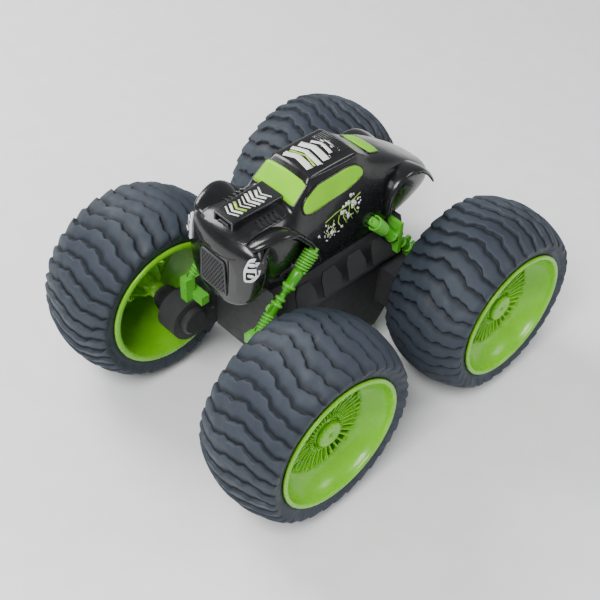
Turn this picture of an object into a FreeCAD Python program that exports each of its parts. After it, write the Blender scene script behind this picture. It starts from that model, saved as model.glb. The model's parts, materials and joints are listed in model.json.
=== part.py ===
"""Radio-controlled stunt car with four large balloon tyres, as a parametric FreeCAD document.

The car faces -Y, its left side is +X and +Z is up. The origin is on the ground, midway between the wheels.
"""
import FreeCAD
import Part
import math
import os
import re
import Sketcher

Vector = FreeCAD.Vector

# alias, millimetres (or degrees, or a count), meaning
SIZES = [
    ("tyre_radius", 65.0, "tread crown to axle"),
    ("tyre_half_width", 31.5, "widest half width of the tyre"),
    ("shoulder_radius", 55.0, "where the tread meets the sidewall"),
    ("bead_radius", 43.0, "inside of the tyre bead, outside of the rim barrel"),
    ("bead_half_width", 29.0, "half the distance between the rim flanges"),
    ("tyre_wall", 3.0, "thickness of the tyre carcass"),
    ("track_half", 77.5, "centre plane of a wheel from the car's centre plane"),
    ("wheelbase_half", 78.5, "axle from the car's middle"),
    ("rim_wall", 2.0, "rim barrel, bowl and spoke disc thickness"),
    ("flange_radius", 45.5, "rim flange that holds the bead"),
    ("flange_width", 2.0, "thickness of that flange"),
    ("bowl_radius", 29.5, "where the outer bowl meets the spoke disc"),
    ("disc_place", 15.0, "inner face of the spoke disc, outboard of the wheel's centre plane"),
    ("hub_radius", 12.0, "solid hub inside the spoke slots"),
    ("hub_tube_radius", 5.5, "tube that takes the axle"),
    ("hub_tube_end", -17.0, "inner end of that tube"),
    ("slot_count", 36.0, "narrow slots between the spokes"),
    ("slot_width", 1.2, "width of a slot"),
    ("vane_count", 6.0, "triangular vanes behind the spoke disc"),
    ("vane_width", 2.0, "thickness of a vane"),
    ("cap_radius", 10.5, "hub cap"),
    ("cap_width", 3.0, "hub cap thickness"),
    ("axle_radius", 2.0, "wheel axle"),
    ("running_gap", 0.05, "radial clearance of each shaft in its bush"),
    ("bush_radius", 3.5, "outside of an axle bush"),
    ("arm_inside", 27.0, "inner face of a gearbox arm, from the centre plane"),
    ("arm_wall", 2.0, "wall of a gearbox arm"),
    ("arm_depth", 14.0, "depth of the open arm housing along the axle"),
    ("arm_radius", 15.3, "half height of an arm, and radius of its end"),
    ("arm_root", 35.0, "where an arm starts, from the car's middle"),
    ("cover_width", 2.0, "plate that closes the arm"),
    ("neck_radius", 11.0, "root of the axle neck on the cover"),
    ("neck_tip_radius", 8.0, "tip of that neck"),
    ("neck_length", 14.0, "how far the neck reaches into the wheel"),
    ("end_cap_radius", 9.5, "round cap over the axle's inner end"),
    ("end_cap_width", 4.0, "thickness of that cap"),
    ("gear_module", 0.8, "module of every gear"),
    ("axle_teeth", 30.0, "teeth of the axle gear"),
    ("small_teeth", 12.0, "small wheel of the cluster gear"),
    ("large_teeth", 30.0, "large wheel of the cluster gear"),
    ("pinion_teeth", 10.0, "motor pinion"),
    ("backlash", 0.24, "gap between the flanks of a mesh"),
    ("first_stage_place", 30.0, "inner face of the pinion and the large wheel"),
    ("first_stage_width", 4.0, "their thickness"),
    ("second_stage_place", 34.5, "inner face of the small wheel and the axle gear"),
    ("second_stage_width", 5.0, "their thickness"),
    ("pin_radius", 1.0, "fixed pin under the cluster gear, and motor shaft"),
    ("motor_radius", 9.0, "motor can"),
    ("motor_length", 23.0, "motor can"),
    ("motor_inside", 1.5, "back of a motor can from the centre plane"),
    ("tub_half_width", 27.0, "outside of the tub"),
    ("tub_half_length", 58.0, "outside of the tub"),
    ("tub_flat_half_length", 38.0, "flat part of the tub's floor"),
    ("tub_bottom", 24.0, "underside of the tub"),
    ("tub_corner", 48.0, "where the sloping ends start"),
    ("tub_top", 84.0, "joint of the tub and the deck"),
    ("tub_wall", 2.0, "wall of the tub and the deck"),
    ("ridge_half_width", 32.0, "widest line of the deck"),
    ("ridge_height", 88.0, "height of that line"),
    ("deck_half_width", 25.0, "flat top of the deck"),
    ("deck_top", 112.0, "top of the deck"),
    ("deck_front", 58.0, "front of the deck"),
    ("deck_rear", 54.0, "rear of the deck"),
    ("panel_depth", 0.7, "raised panels on the deck's slopes"),
    ("shell_wall", 2.0, "wall of the body shell"),
    ("scoop_half_width", 9.0, "hood scoop"),
    ("scoop_height", 166.0, "top of the hood scoop"),
    ("scoop_front", 73.0, "mouth of the hood scoop"),
    ("scoop_rear", 38.0, "back of the hood scoop"),
    ("shock_rod_radius", 2.2, "slim middle of the shock absorber"),
    ("shock_ring_radius", 5.0, "its coil rings"),
    ("post_radius", 3.0, "posts that carry the body"),
    ("screw_radius", 1.2, "shanks of the case screws"),
    ("boss_radius", 2.7, "screw bosses inside the case"),
    ("boss_across", 22.0, "screw bosses from the centre plane"),
    ("boss_along", 28.0, "screw bosses from the car's middle"),
    ("boss_split", 34.0, "height where the bosses of the tub and the deck meet"),
]
NAMES = {alias for alias, _, _ in SIZES}

document = FreeCAD.newDocument("StuntCar")
sheet = document.addObject("Spreadsheet::Sheet", "Sizes")
for row, (alias, size, meaning) in enumerate(SIZES, start=1):
    sheet.set("A%d" % row, alias)
    sheet.set("B%d" % row, str(size))
    sheet.set("C%d" % row, meaning)
    sheet.setAlias("B%d" % row, alias)
document.recompute()

pieces = []
MIDDLE = ("0", "0", "0")
ALONG = {
    "x": FreeCAD.Rotation(Vector(0, 1, 0), 90),
    "y": FreeCAD.Rotation(Vector(1, 0, 0), -90),
    "z": FreeCAD.Rotation(),
}
AXLE = ("0", "-wheelbase_half", "tyre_radius")
# upper and lower ends of the left shock absorbers
FRONT_SHOCK = (Vector(31.5, -33, 136), Vector(31.5, -76.5, 95.5))
REAR_SHOCK = (Vector(28, 24, 124), Vector(33.6, 61, 82.4))


# ---------------------------------------------------------------- tools of the document
def formula(text):
    """A size written with the sheet's aliases, as a FreeCAD expression."""
    def named(found):
        word = found.group()
        return "Sizes." + word if word in NAMES else word
    return re.sub(r"[a-z][a-z_]*", named, str(text))


def value(text):
    """The number that a size has now."""
    number = sheet.evalExpression(formula(text))
    return float(getattr(number, "Value", number))


def bind(thing, **sizes):
    """Ties properties of an object to the sheet."""
    for name, text in sizes.items():
        thing.setExpression(name, formula(text))


def put(thing, place, turn=None):
    """Ties an object's place to the sheet, with a fixed turn."""
    thing.Placement = FreeCAD.Placement(Vector(), turn or FreeCAD.Rotation())
    for axis, text in zip("xyz", place):
        thing.setExpression(".Placement.Base." + axis, formula(text))


def box(name, low, high):
    """A block between two corners."""
    block = document.addObject("Part::Box", name)
    spans = ["(%s) - (%s)" % (h, l) for l, h in zip(low, high)]
    bind(block, Length=spans[0], Width=spans[1], Height=spans[2])
    put(block, low)
    return block


def rod(name, radius, length, place, axis="x"):
    """A cylinder that starts at place and runs along +axis."""
    cylinder = document.addObject("Part::Cylinder", name)
    bind(cylinder, Radius=radius, Height=length)
    put(cylinder, place, ALONG[axis])
    return cylinder


def cone(name, radius, tip_radius, length, place, axis="x"):
    taper = document.addObject("Part::Cone", name)
    bind(taper, Radius1=radius, Radius2=tip_radius, Height=length)
    put(taper, place, ALONG[axis])
    return taper


def fuse(name, *parts):
    """One solid of several, or the only one."""
    if len(parts) == 1:
        return parts[0]
    joined = document.addObject("Part::MultiFuse", name)
    joined.Shapes = list(parts)
    return joined


def cut(name, base, *tools):
    rest = document.addObject("Part::Cut", name)
    rest.Base = base
    rest.Tool = fuse(name + "_tools", *tools)
    return rest


def common(name, base, tool):
    shared = document.addObject("Part::Common", name)
    shared.Base = base
    shared.Tool = tool
    return shared


def group(name, *parts):
    """Several separate solids that share a node."""
    many = document.addObject("Part::Compound", name)
    many.Links = list(parts)
    return many


def mirrored(source, name, normal):
    copy = document.addObject("Part::Mirroring", name)
    copy.Source = source
    copy.Base = Vector()
    copy.Normal = normal
    return copy


def piece(thing, label):
    """Marks an object as a sub-part, with the label that names its file."""
    thing.Label = label
    pieces.append(thing)
    return thing


def both_sides(left, stem, keep=False):
    """The left-hand object and its mirror image, as two sub-parts or as a list."""
    right = mirrored(left, stem + "_mirror_right", Vector(1, 0, 0))
    if keep:
        return [left, right]
    piece(left, stem + "_left")
    piece(right, stem + "_right")
    return [left, right]


def four_corners(master, stem, keep=False):
    """The front left object and its three mirror images, as four sub-parts or as a list."""
    front = both_sides(master, stem + "_front", keep)
    rear = mirrored(master, stem + "_mirror_rear", Vector(0, 1, 0))
    return front + both_sides(rear, stem + "_rear", keep)


# ---------------------------------------------------------------- sketches
def sketch_on(body, name, plane, offset=None):
    """A sketch on one of the body's origin planes."""
    drawing = body.newObject("Sketcher::SketchObject", name)
    plane_object = [o for o in body.Origin.OriginFeatures if o.Role == plane][0]
    drawing.AttachmentSupport = [(plane_object, "")]
    drawing.MapMode = "FlatFace"
    if offset is not None:
        drawing.setExpression(".AttachmentOffset.Base.z", formula(offset))
    return drawing


def outline(drawing, corners):
    """A closed outline through the corners. A corner is (across, up), and (across, up, radius) starts an arc
    of that radius, bulging to the right of the way round if the radius is positive, to the next corner."""
    places = [Vector(value(c[0]), value(c[1])) for c in corners]
    first = drawing.GeometryCount
    starts = []
    for i, corner in enumerate(corners):
        here = places[i]
        there = places[(i + 1) % len(corners)]
        if len(corner) == 2:
            drawing.addGeometry(Part.LineSegment(here, there), False)
            starts.append(1)
            continue
        radius = value(corner[2])
        chord = there - here
        half = chord.Length / 2
        rise = abs(radius) - math.sqrt(radius * radius - half * half)
        side = Vector(chord.y, -chord.x).normalize() * math.copysign(rise, radius)
        drawing.addGeometry(Part.Arc(here, here + chord / 2 + side, there), False)
        starts.append(1 if (drawing.getPoint(first + i, 1) - here).Length < 1e-6 else 2)
    for i, corner in enumerate(corners):
        after = (i + 1) % len(corners)
        joint = Sketcher.Constraint("Coincident", first + i, 3 - starts[i], first + after, starts[after])
        drawing.addConstraint(joint)
        for kind, place, text in (("DistanceX", places[i].x, corner[0]), ("DistanceY", places[i].y, corner[1])):
            index = drawing.addConstraint(Sketcher.Constraint(kind, -1, 1, first + i, starts[i], place))
            drawing.setExpression("Constraints[%d]" % index, formula(text))
    for i, corner in enumerate(corners):
        if len(corner) == 3:
            index = drawing.addConstraint(Sketcher.Constraint("Radius", first + i, abs(value(corner[2]))))
            drawing.setExpression("Constraints[%d]" % index, "abs(%s)" % formula(corner[2]))


def feature(body, kind, name, profile):
    made = body.newObject("PartDesign::" + kind, name)
    made.Profile = profile
    return made


def revolved(name, corners, place, turn=None):
    """A body turned about X from an outline of (along X, radius) corners."""
    body = document.addObject("PartDesign::Body", name)
    drawing = sketch_on(body, name + "_profile", "XY_Plane")
    outline(drawing, corners)
    turned = feature(body, "Revolution", name + "_turned", drawing)
    turned.ReferenceAxis = (drawing, ["H_Axis"])
    turned.Angle = 360.0
    put(body, place, turn)
    return body


def padded(name, plane, corners, start, length):
    """A body padded from an outline on a plane at the offset start."""
    body = document.addObject("PartDesign::Body", name)
    drawing = sketch_on(body, name + "_profile", plane, start)
    outline(drawing, corners)
    pad = feature(body, "Pad", name + "_pad", drawing)
    bind(pad, Length=length)
    return body


def around(body, feature_made, count, name):
    """Repeats a feature round X, and makes the pattern the body's tip."""
    pattern = body.newObject("PartDesign::PolarPattern", name)
    pattern.Originals = [feature_made]
    pattern.Axis = ([o for o in body.Origin.OriginFeatures if o.Role == "X_Axis"][0], [""])
    pattern.Angle = 360.0
    bind(pattern, Occurrences=count)
    body.Tip = pattern
    return pattern


# ---------------------------------------------------------------- wheels
def tyre():
    """Balloon tyre: a hollow carcass, open towards the rim."""
    crown = "(tyre_half_width^2 + (tyre_radius - shoulder_radius)^2) / (2 * (tyre_radius - shoulder_radius))"
    corners = [
        ("bead_half_width", "bead_radius"),
        ("bead_half_width", "bead_radius + 3.5"),
        ("tyre_half_width", "shoulder_radius", crown),
        ("-tyre_half_width", "shoulder_radius"),
        ("-bead_half_width", "bead_radius + 3.5"),
        ("-bead_half_width", "bead_radius"),
        ("-bead_half_width + tyre_wall + 1", "bead_radius"),
        ("-bead_half_width + tyre_wall + 1", "bead_radius + 3.5"),
        ("-tyre_half_width + tyre_wall", "shoulder_radius - 1.5", "-(%s + 4)" % crown),
        ("tyre_half_width - tyre_wall", "shoulder_radius - 1.5"),
        ("bead_half_width - tyre_wall - 1", "bead_radius + 3.5"),
        ("bead_half_width - tyre_wall - 1", "bead_radius"),
    ]
    four_corners(revolved("Tyre", corners, ("track_half",) + AXLE[1:]), "tyre")


def rim():
    """Deep-dished rim: barrel, outer bowl, slotted spoke disc, axle tube and the vanes behind the disc."""
    inner = "bead_radius - rim_wall"
    corners = [
        ("hub_tube_end", "axle_radius"),
        ("disc_place + rim_wall + 1", "axle_radius"),
        ("disc_place + rim_wall + 1", "hub_radius"),
        ("disc_place + rim_wall", "hub_radius"),
        ("disc_place + rim_wall", "bowl_radius"),
        ("bead_half_width + flange_width", inner),
        ("bead_half_width + flange_width", "flange_radius"),
        ("bead_half_width", "flange_radius"),
        ("bead_half_width", "bead_radius"),
        ("-bead_half_width", "bead_radius"),
        ("-bead_half_width", "flange_radius"),
        ("-bead_half_width - flange_width", "flange_radius"),
        ("-bead_half_width - flange_width", inner),
        ("bead_half_width - rim_wall", inner),
        ("disc_place", "bowl_radius"),
        ("disc_place", "hub_radius - 2"),
        ("disc_place - 6", "hub_tube_radius"),
        ("hub_tube_end", "hub_tube_radius"),
    ]
    body = revolved("Rim", corners, ("track_half",) + AXLE[1:])
    drawing = sketch_on(body, "Rim_slot", "YZ_Plane", "disc_place - 2")
    half = "slot_width / 2"
    outline(drawing, [
        ("-" + half, "hub_radius + 2"), (half, "hub_radius + 2"),
        (half, "bowl_radius - 2"), ("-" + half, "bowl_radius - 2"),
    ])
    slot = feature(body, "Pocket", "Rim_slot_cut", drawing)
    slot.Reversed = True
    bind(slot, Length="rim_wall + 4")
    around(body, slot, "slot_count", "Rim_slots")
    drawing = sketch_on(body, "Rim_vane", "XY_Plane")
    outline(drawing, [
        ("disc_place", "hub_tube_radius - 0.5"),
        ("disc_place", "bowl_radius - 1"),
        ("disc_place - 13", "hub_tube_radius + 6", "-30"),
        ("hub_tube_end + 8", "hub_tube_radius - 0.5"),
    ])
    vane = feature(body, "Pad", "Rim_vane_pad", drawing)
    vane.Midplane = True
    bind(vane, Length="vane_width")
    around(body, vane, "vane_count", "Rim_vanes")
    four_corners(body, "rim")


def hub_caps():
    """Round cap that covers the axle's outer end."""
    place = ("track_half + disc_place + rim_wall + 1",) + AXLE[1:]
    corners = [
        ("0", "0"), ("cap_width + 0.6", "0"), ("cap_width", "cap_radius - 2"), ("cap_width - 1", "cap_radius"),
        ("0", "cap_radius"),
    ]
    four_corners(revolved("HubCap", corners, place), "hub_cap")


def axles():
    """Steel axle from the arm's inner wall to the wheel's hub, with a collar for the hub tube."""
    start = "arm_inside + 0.4"
    end = "track_half + disc_place + rim_wall + 1"
    shaft = rod("AxleShaft", "axle_radius", "%s - (%s)" % (end, start), (start,) + AXLE[1:])
    collar_start = "arm_inside + arm_depth + cover_width + neck_length + 0.3"
    collar = rod("AxleCollar", "bush_radius", "track_half + hub_tube_end - (%s)" % collar_start,
                 (collar_start,) + AXLE[1:])
    four_corners(fuse("Axle", shaft, collar), "axle")


# ---------------------------------------------------------------- gears
def gear_shape(teeth, width, phase, bore):
    """A spur gear about X with involute flanks, its first tooth turned by phase degrees from +Y towards +Z."""
    module = value("gear_module")
    pressure = math.radians(20)
    pitch = module * teeth / 2
    base = pitch * math.cos(pressure)
    tip = pitch + 0.9 * module
    root = pitch - 1.2 * module
    half_tooth = (math.pi * module / 2 - value("backlash") / 2) / 2 / pitch

    def flank(radius):
        """Half the tooth's angle at a radius."""
        def roll(r):
            turn = math.acos(min(1.0, base / r))
            return math.tan(turn) - turn
        return half_tooth + roll(pitch) - roll(max(radius, base))

    radii = [root, max(base, root + 0.1), pitch, (pitch + tip) / 2, tip]
    points = []
    for tooth in range(int(teeth)):
        middle = math.radians(phase) + 2 * math.pi * tooth / teeth
        turns = [(r, middle - flank(r)) for r in radii] + [(r, middle + flank(r)) for r in reversed(radii)]
        points += [Vector(0, r * math.cos(a), r * math.sin(a)) for r, a in turns]
    blank = Part.Face(Part.makePolygon(points + points[:1])).extrude(Vector(width, 0, 0))
    return blank.cut(Part.makeCylinder(bore, width + 2, Vector(-1, 0, 0), Vector(1, 0, 0)))


def solid(name, shape, place):
    """A sub-part whose shape comes from Part's own functions, with sizes read from the sheet."""
    thing = document.addObject("Part::Feature", name)
    thing.Shape = shape
    put(thing, place)
    return thing


CLUSTER_Y = "-wheelbase_half + gear_module * (axle_teeth + small_teeth) / 2"
PINION_Y = CLUSTER_Y + " + gear_module * (large_teeth + pinion_teeth) / 2"


def gears():
    """Axle gear, cluster gear and motor pinion of each arm, in mesh along Y."""
    second = value("second_stage_width")
    first = value("first_stage_width")
    axle_gear = gear_shape(value("axle_teeth"), second, 0, value("axle_radius"))
    four_corners(solid("AxleGear", axle_gear, ("second_stage_place",) + AXLE[1:]), "axle_gear")

    bore = value("pin_radius + running_gap")
    small_phase = 180 + 180 / value("small_teeth")
    large = gear_shape(value("large_teeth"), first, 0, bore)
    small = gear_shape(value("small_teeth"), second, small_phase, bore)
    step = value("second_stage_place - first_stage_place")
    spacer = Part.makeCylinder(value("gear_module") * 3.5, step - first, Vector(first, 0, 0), Vector(1, 0, 0))
    spacer = spacer.cut(Part.makeCylinder(bore, step, Vector(first - 1, 0, 0), Vector(1, 0, 0)))
    small.translate(Vector(step, 0, 0))
    cluster = large.fuse([small, spacer]).removeSplitter()
    four_corners(solid("ClusterGear", cluster, ("first_stage_place", CLUSTER_Y, AXLE[2])), "cluster_gear")

    pinion_phase = 180 + 180 / value("pinion_teeth")
    pinion = gear_shape(value("pinion_teeth"), first, pinion_phase, value("pin_radius"))
    inside = value("motor_inside + motor_length - 8 - first_stage_place")
    shaft = Part.makeCylinder(value("pin_radius"), first + 0.5 - inside, Vector(inside, 0, 0), Vector(1, 0, 0))
    rotor = pinion.fuse(shaft)
    four_corners(solid("MotorPinion", rotor, ("first_stage_place", PINION_Y, AXLE[2])), "motor_pinion")


# ---------------------------------------------------------------- gearbox arms
def arm_outline(inset):
    """Side view of an arm, inset by a wall: straight at the root and round at the axle."""
    radius = "arm_radius - %s" % inset
    return [
        ("-arm_root - %s" % inset, "tyre_radius - (%s)" % radius),
        ("-arm_root - %s" % inset, "tyre_radius + %s" % radius),
        ("-wheelbase_half", "tyre_radius + %s" % radius, "%s + 0.001" % radius),
        ("-wheelbase_half - (%s)" % radius, "tyre_radius", "%s + 0.001" % radius),
        ("-wheelbase_half", "tyre_radius - (%s)" % radius),
    ]


def arms():
    """Gearbox arms, their covers with the axle necks, end caps, bushes and gear pins."""
    block = padded("ArmBlock", "YZ_Plane", arm_outline("0"), "arm_inside", "arm_depth")
    room = padded("ArmRoom", "YZ_Plane", arm_outline("arm_wall"), "arm_inside + arm_wall", "arm_depth")
    axle_seat = rod("ArmAxleSeat", "bush_radius", "arm_wall + 2", ("arm_inside - 1",) + AXLE[1:])
    pin_seat = rod("ArmPinSeat", "pin_radius", "arm_wall + 2", ("arm_inside - 1", CLUSTER_Y, AXLE[2]))
    shaft_hole = rod("ArmShaftHole", "bush_radius", "arm_wall + 2", ("arm_inside - 1", PINION_Y, AXLE[2]))
    four_corners(cut("Arm", block, room, axle_seat, pin_seat, shaft_hole), "gearbox_arm")

    cover_place = "arm_inside + arm_depth"
    plate = padded("CoverPlate", "YZ_Plane", arm_outline("0"), cover_place, "cover_width")
    neck = cone("CoverNeck", "neck_radius", "neck_tip_radius", "neck_length",
                (cover_place + " + cover_width",) + AXLE[1:])
    passage = rod("CoverPassage", "axle_radius + 0.6", "cover_width + neck_length + 2",
                  (cover_place + " - 1",) + AXLE[1:])
    tip_seat = rod("CoverBushSeat", "bush_radius", "6",
                   (cover_place + " + cover_width + neck_length - 5",) + AXLE[1:])
    cover_pin = rod("CoverPinSeat", "pin_radius", "cover_width / 2 + 1",
                    (cover_place + " - 1", CLUSTER_Y, AXLE[2]))
    cover = cut("Cover", fuse("CoverBlank", plate, neck), passage, tip_seat, cover_pin)
    four_corners(cover, "gearbox_cover")

    bush_hole = "axle_radius + running_gap"
    inner = cut("InnerBush",
                rod("InnerBushBlank", "bush_radius", "arm_wall", ("arm_inside",) + AXLE[1:]),
                rod("InnerBushHole", bush_hole, "arm_wall + 2", ("arm_inside - 1",) + AXLE[1:]))
    tip = (cover_place + " + cover_width + neck_length - 5",) + AXLE[1:]
    outer = cut("OuterBush", rod("OuterBushBlank", "bush_radius", "5", tip),
                rod("OuterBushHole", bush_hole, "7", (tip[0] + " - 1",) + tip[1:]))
    bushes = four_corners(inner, "InnerBush", True) + four_corners(outer, "OuterBush", True)
    piece(group("Bushes", *bushes), "axle_bushes")

    pin = rod("Pin", "pin_radius", "arm_depth + cover_width / 2", ("arm_inside", CLUSTER_Y, AXLE[2]))
    piece(group("Pins", *four_corners(pin, "Pin", True)), "gear_pins")

    cap_blank = revolved("EndCap", [
        ("-end_cap_width", "0"),
        ("-end_cap_width", "end_cap_radius - 1.5"),
        ("-end_cap_width + 1.5", "end_cap_radius"),
        ("0", "end_cap_radius"),
        ("0", "bush_radius + 1"),
        ("-1", "bush_radius + 1"),
        ("-1", "0"),
    ], ("arm_inside",) + AXLE[1:])
    piece(group("EndCaps", *four_corners(cap_blank, "EndCap", True)), "axle_end_caps")


def motors():
    """Motor cans across the tub, their shafts through the arms' inner walls."""
    place = ("motor_inside", PINION_Y, AXLE[2])
    can = rod("MotorCan", "motor_radius", "motor_length", place)
    nose = rod("MotorNose", "bush_radius - 0.3", "4", ("motor_inside + motor_length", PINION_Y, AXLE[2]))
    hole = rod("MotorHole", "pin_radius + running_gap", "20",
               ("motor_inside + motor_length - 8.5", PINION_Y, AXLE[2]))
    motor = cut("Motor", fuse("MotorBlank", can, nose), hole)
    piece(group("Motors", *four_corners(motor, "Motor", True)), "drive_motors")


# ---------------------------------------------------------------- chassis
def tub():
    """Lower tub with sloping ends, a battery door, a switch slot and a charging hole."""
    def side(inset):
        return [
            ("-tub_half_length + %s" % inset, "tub_top"),
            ("-tub_half_length + %s" % inset, "tub_corner + %s" % inset),
            ("-tub_flat_half_length + %s / 2" % inset, "tub_bottom + %s" % inset),
            ("tub_flat_half_length - %s / 2" % inset, "tub_bottom + %s" % inset),
            ("tub_half_length - %s" % inset, "tub_corner + %s" % inset),
            ("tub_half_length - %s" % inset, "tub_top"),
        ]
    block = padded("TubBlock", "YZ_Plane", side("0"), "-tub_half_width", "2 * tub_half_width")
    room = padded("TubRoom", "YZ_Plane", side("tub_wall"), "-tub_half_width + tub_wall",
                  "2 * (tub_half_width - tub_wall)")
    above_floor = "tub_bottom + tub_wall + 1"
    door_hole = box("DoorHole", ("-20", "-33", "tub_bottom - 1"), ("20", "19", above_floor))
    switch_slot = box("SwitchSlot", ("-4.3", "26.7", "tub_bottom - 1"), ("4.3", "31.3", above_floor))
    socket_hole = rod("SocketHole", "bush_radius", "6", ("0", "tub_half_length - 4", "tub_top - 5"), "y")
    shaft = rod("TubShaftHole", "bush_radius", "4", ("tub_half_width - 3", PINION_Y, AXLE[2]))
    holes = four_corners(shaft, "TubShaftHole", True)
    centre = ("boss_across", "-boss_along")
    boss = rod("TubBoss", "boss_radius", "boss_split - tub_bottom", centre + ("tub_bottom",), "z")
    shank_hole = rod("TubScrewHole", "screw_radius + 0.2", "14", centre + ("tub_bottom - 1",), "z")
    head_hole = rod("TubHeadHole", "screw_radius + 1.3", "2.2", centre + ("tub_bottom - 1",), "z")
    holes += four_corners(shank_hole, "TubScrewHole", True) + four_corners(head_hole, "TubHeadHole", True)
    walls = fuse("TubWalls", cut("TubHollow", block, room), *four_corners(boss, "TubBoss", True))
    piece(cut("Tub", walls, door_hole, switch_slot, socket_hole, *holes), "chassis_tub")

    door = box("DoorPlate", ("-19.8", "-32.8", "tub_bottom"), ("19.8", "18.8", "tub_bottom + tub_wall"))
    grips = []
    for n, y in enumerate((8, 11, 14)):
        low = ("-8", "%d" % y, "tub_bottom - 1")
        grips.append(box("DoorGrip%d" % n, low, ("8", "%d + 1.2" % y, "tub_bottom + 0.8")))
    piece(cut("Door", door, *grips), "battery_door")
    piece(box("Battery", ("-17", "-30", "tub_bottom + tub_wall + 0.5"), ("17", "16", "54")), "battery_pack")
    board = box("Board", ("-19", "-32", "60"), ("19", "32", "61.6"))
    chips = [box("Chip%d" % n, (str(x), str(y), "61.6"), (str(x + 9), str(y + 9), "64.5"))
             for n, (x, y) in enumerate(((-15, -22), (4, -8), (-12, 10)))]
    piece(fuse("CircuitBoard", board, *chips), "circuit_board")

    inside = "tub_bottom + tub_wall"
    knob = box("SwitchKnob", ("0", "27", "tub_bottom + 0.4"), ("4", "31", inside + " + 0.3"))
    flange = box("SwitchFlange", ("-1", "26", inside + " + 0.3"), ("5", "32", inside + " + 1.5"))
    piece(fuse("SwitchSlider", knob, flange), "switch_slider")
    case = box("SwitchCaseBlock", ("-8", "24", inside), ("8", "34", inside + " + 5"))
    hollow = box("SwitchCaseRoom", ("-6.5", "25.3", inside + " - 1"), ("6.5", "32.7", inside + " + 3.8"))
    piece(cut("SwitchCase", case, hollow), "switch_case")
    socket = rod("SocketBlank", "bush_radius", "9", ("0", "tub_half_length - 9", "tub_top - 5"), "y")
    bore = rod("SocketBore", "1.75", "9", ("0", "tub_half_length - 7", "tub_top - 5"), "y")
    piece(cut("Socket", socket, bore), "charge_socket")


def slope_panels():
    """Raised panels with clipped corners along the left slope of the deck."""
    run = value("ridge_half_width - deck_half_width")
    rise = value("deck_top - ridge_height")
    slope = math.hypot(run, rise)
    panels = []
    for n, middle in enumerate((-34, -12, 10, 32)):
        high = 0.78 * slope
        corners = [(-8, 2), (8, 2), (8, high * 0.55), (4, high), (-6, high), (-8, high * 0.75)]
        wire = Part.makePolygon([Vector(a, b, 0) for a, b in corners + corners[:1]])
        plate = Part.Face(wire).extrude(Vector(0, 0, value("panel_depth")))
        panel = document.addObject("Part::Feature", "DeckPanelLeft%d" % n)
        panel.Shape = plate
        lean = Vector(-run, 0, rise).normalize()
        turn = FreeCAD.Rotation(Vector(0, 1, 0), lean, Vector(), "XYZ")
        panel.Placement = FreeCAD.Placement(
            Vector(value("ridge_half_width"), middle, value("ridge_height")), turn)
        panels.append(panel)
    return panels


def deck_section(inset):
    """Cross-section of the deck, drawn in by a wall."""
    return [
        ("-tub_half_width + %s" % inset, "tub_top"),
        ("-ridge_half_width + 1.3 * (%s)" % inset, "ridge_height"),
        ("-deck_half_width + %s" % inset, "deck_top - %s" % inset),
        ("deck_half_width - %s" % inset, "deck_top - %s" % inset),
        ("ridge_half_width - 1.3 * (%s)" % inset, "ridge_height"),
        ("tub_half_width - %s" % inset, "tub_top"),
    ]


def deck_block(name):
    """The space that the deck takes up."""
    return padded(name + "DeckBlock", "XZ_Plane", deck_section("0"), "-deck_rear", "deck_front + deck_rear")


def deck():
    """Upper deck: a hollow cover with sloping sides that meet in a ridge, on four screw bosses."""
    block = deck_block("Whole")
    room = padded("DeckRoom", "XZ_Plane", deck_section("tub_wall"), "-deck_rear + tub_wall",
                  "deck_front + deck_rear - 2 * tub_wall")
    centre = ("boss_across", "-boss_along", "boss_split + 0.1")
    boss = rod("DeckBoss", "boss_radius", "deck_top - boss_split - 1", centre, "z")
    pilot = rod("DeckPilot", "screw_radius", "12", centre, "z")
    shell = cut("DeckShell", block, room)
    shell = fuse("DeckWithBosses", shell, *four_corners(boss, "DeckBoss", True))
    top, bottom = REAR_SHOCK
    notch = rod("DeckNotch", "shock_ring_radius + 0.6", (bottom - top).Length, tuple(str(n) for n in top))
    notch.Placement.Rotation = FreeCAD.Rotation(Vector(0, 0, 1), bottom - top)
    panels = slope_panels()
    right = [mirrored(p, "DeckPanelRight%d" % n, Vector(1, 0, 0)) for n, p in enumerate(panels)]
    whole = fuse("DeckWithPanels", shell, *panels, *right)
    holes = both_sides(notch, "DeckNotch", True) + four_corners(pilot, "DeckPilot", True)
    piece(cut("Deck", whole, *holes), "chassis_deck")


def screws():
    """Case screws under the tub and the arms' cover screws."""
    parts = []
    centre = ("boss_across", "-boss_along")
    head = rod("CaseScrewHead", "screw_radius + 1", "0.9", centre + ("tub_bottom + 0.3",), "z")
    shank = rod("CaseScrewShank", "screw_radius", "20", centre + ("tub_bottom + 1.2",), "z")
    parts += four_corners(fuse("CaseScrew", head, shank), "CaseScrew", True)
    for n, (y, z) in enumerate(((-40, 11), (-40, -11), (-91.5, 0))):
        head = rod("CoverScrewHead%d" % n, "screw_radius + 0.4", "0.9",
                   ("arm_inside + arm_depth + cover_width", str(y), "tyre_radius + %s" % z))
        parts += four_corners(head, "CoverScrew%d" % n, True)
    piece(group("Screws", *parts), "case_screws")


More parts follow.
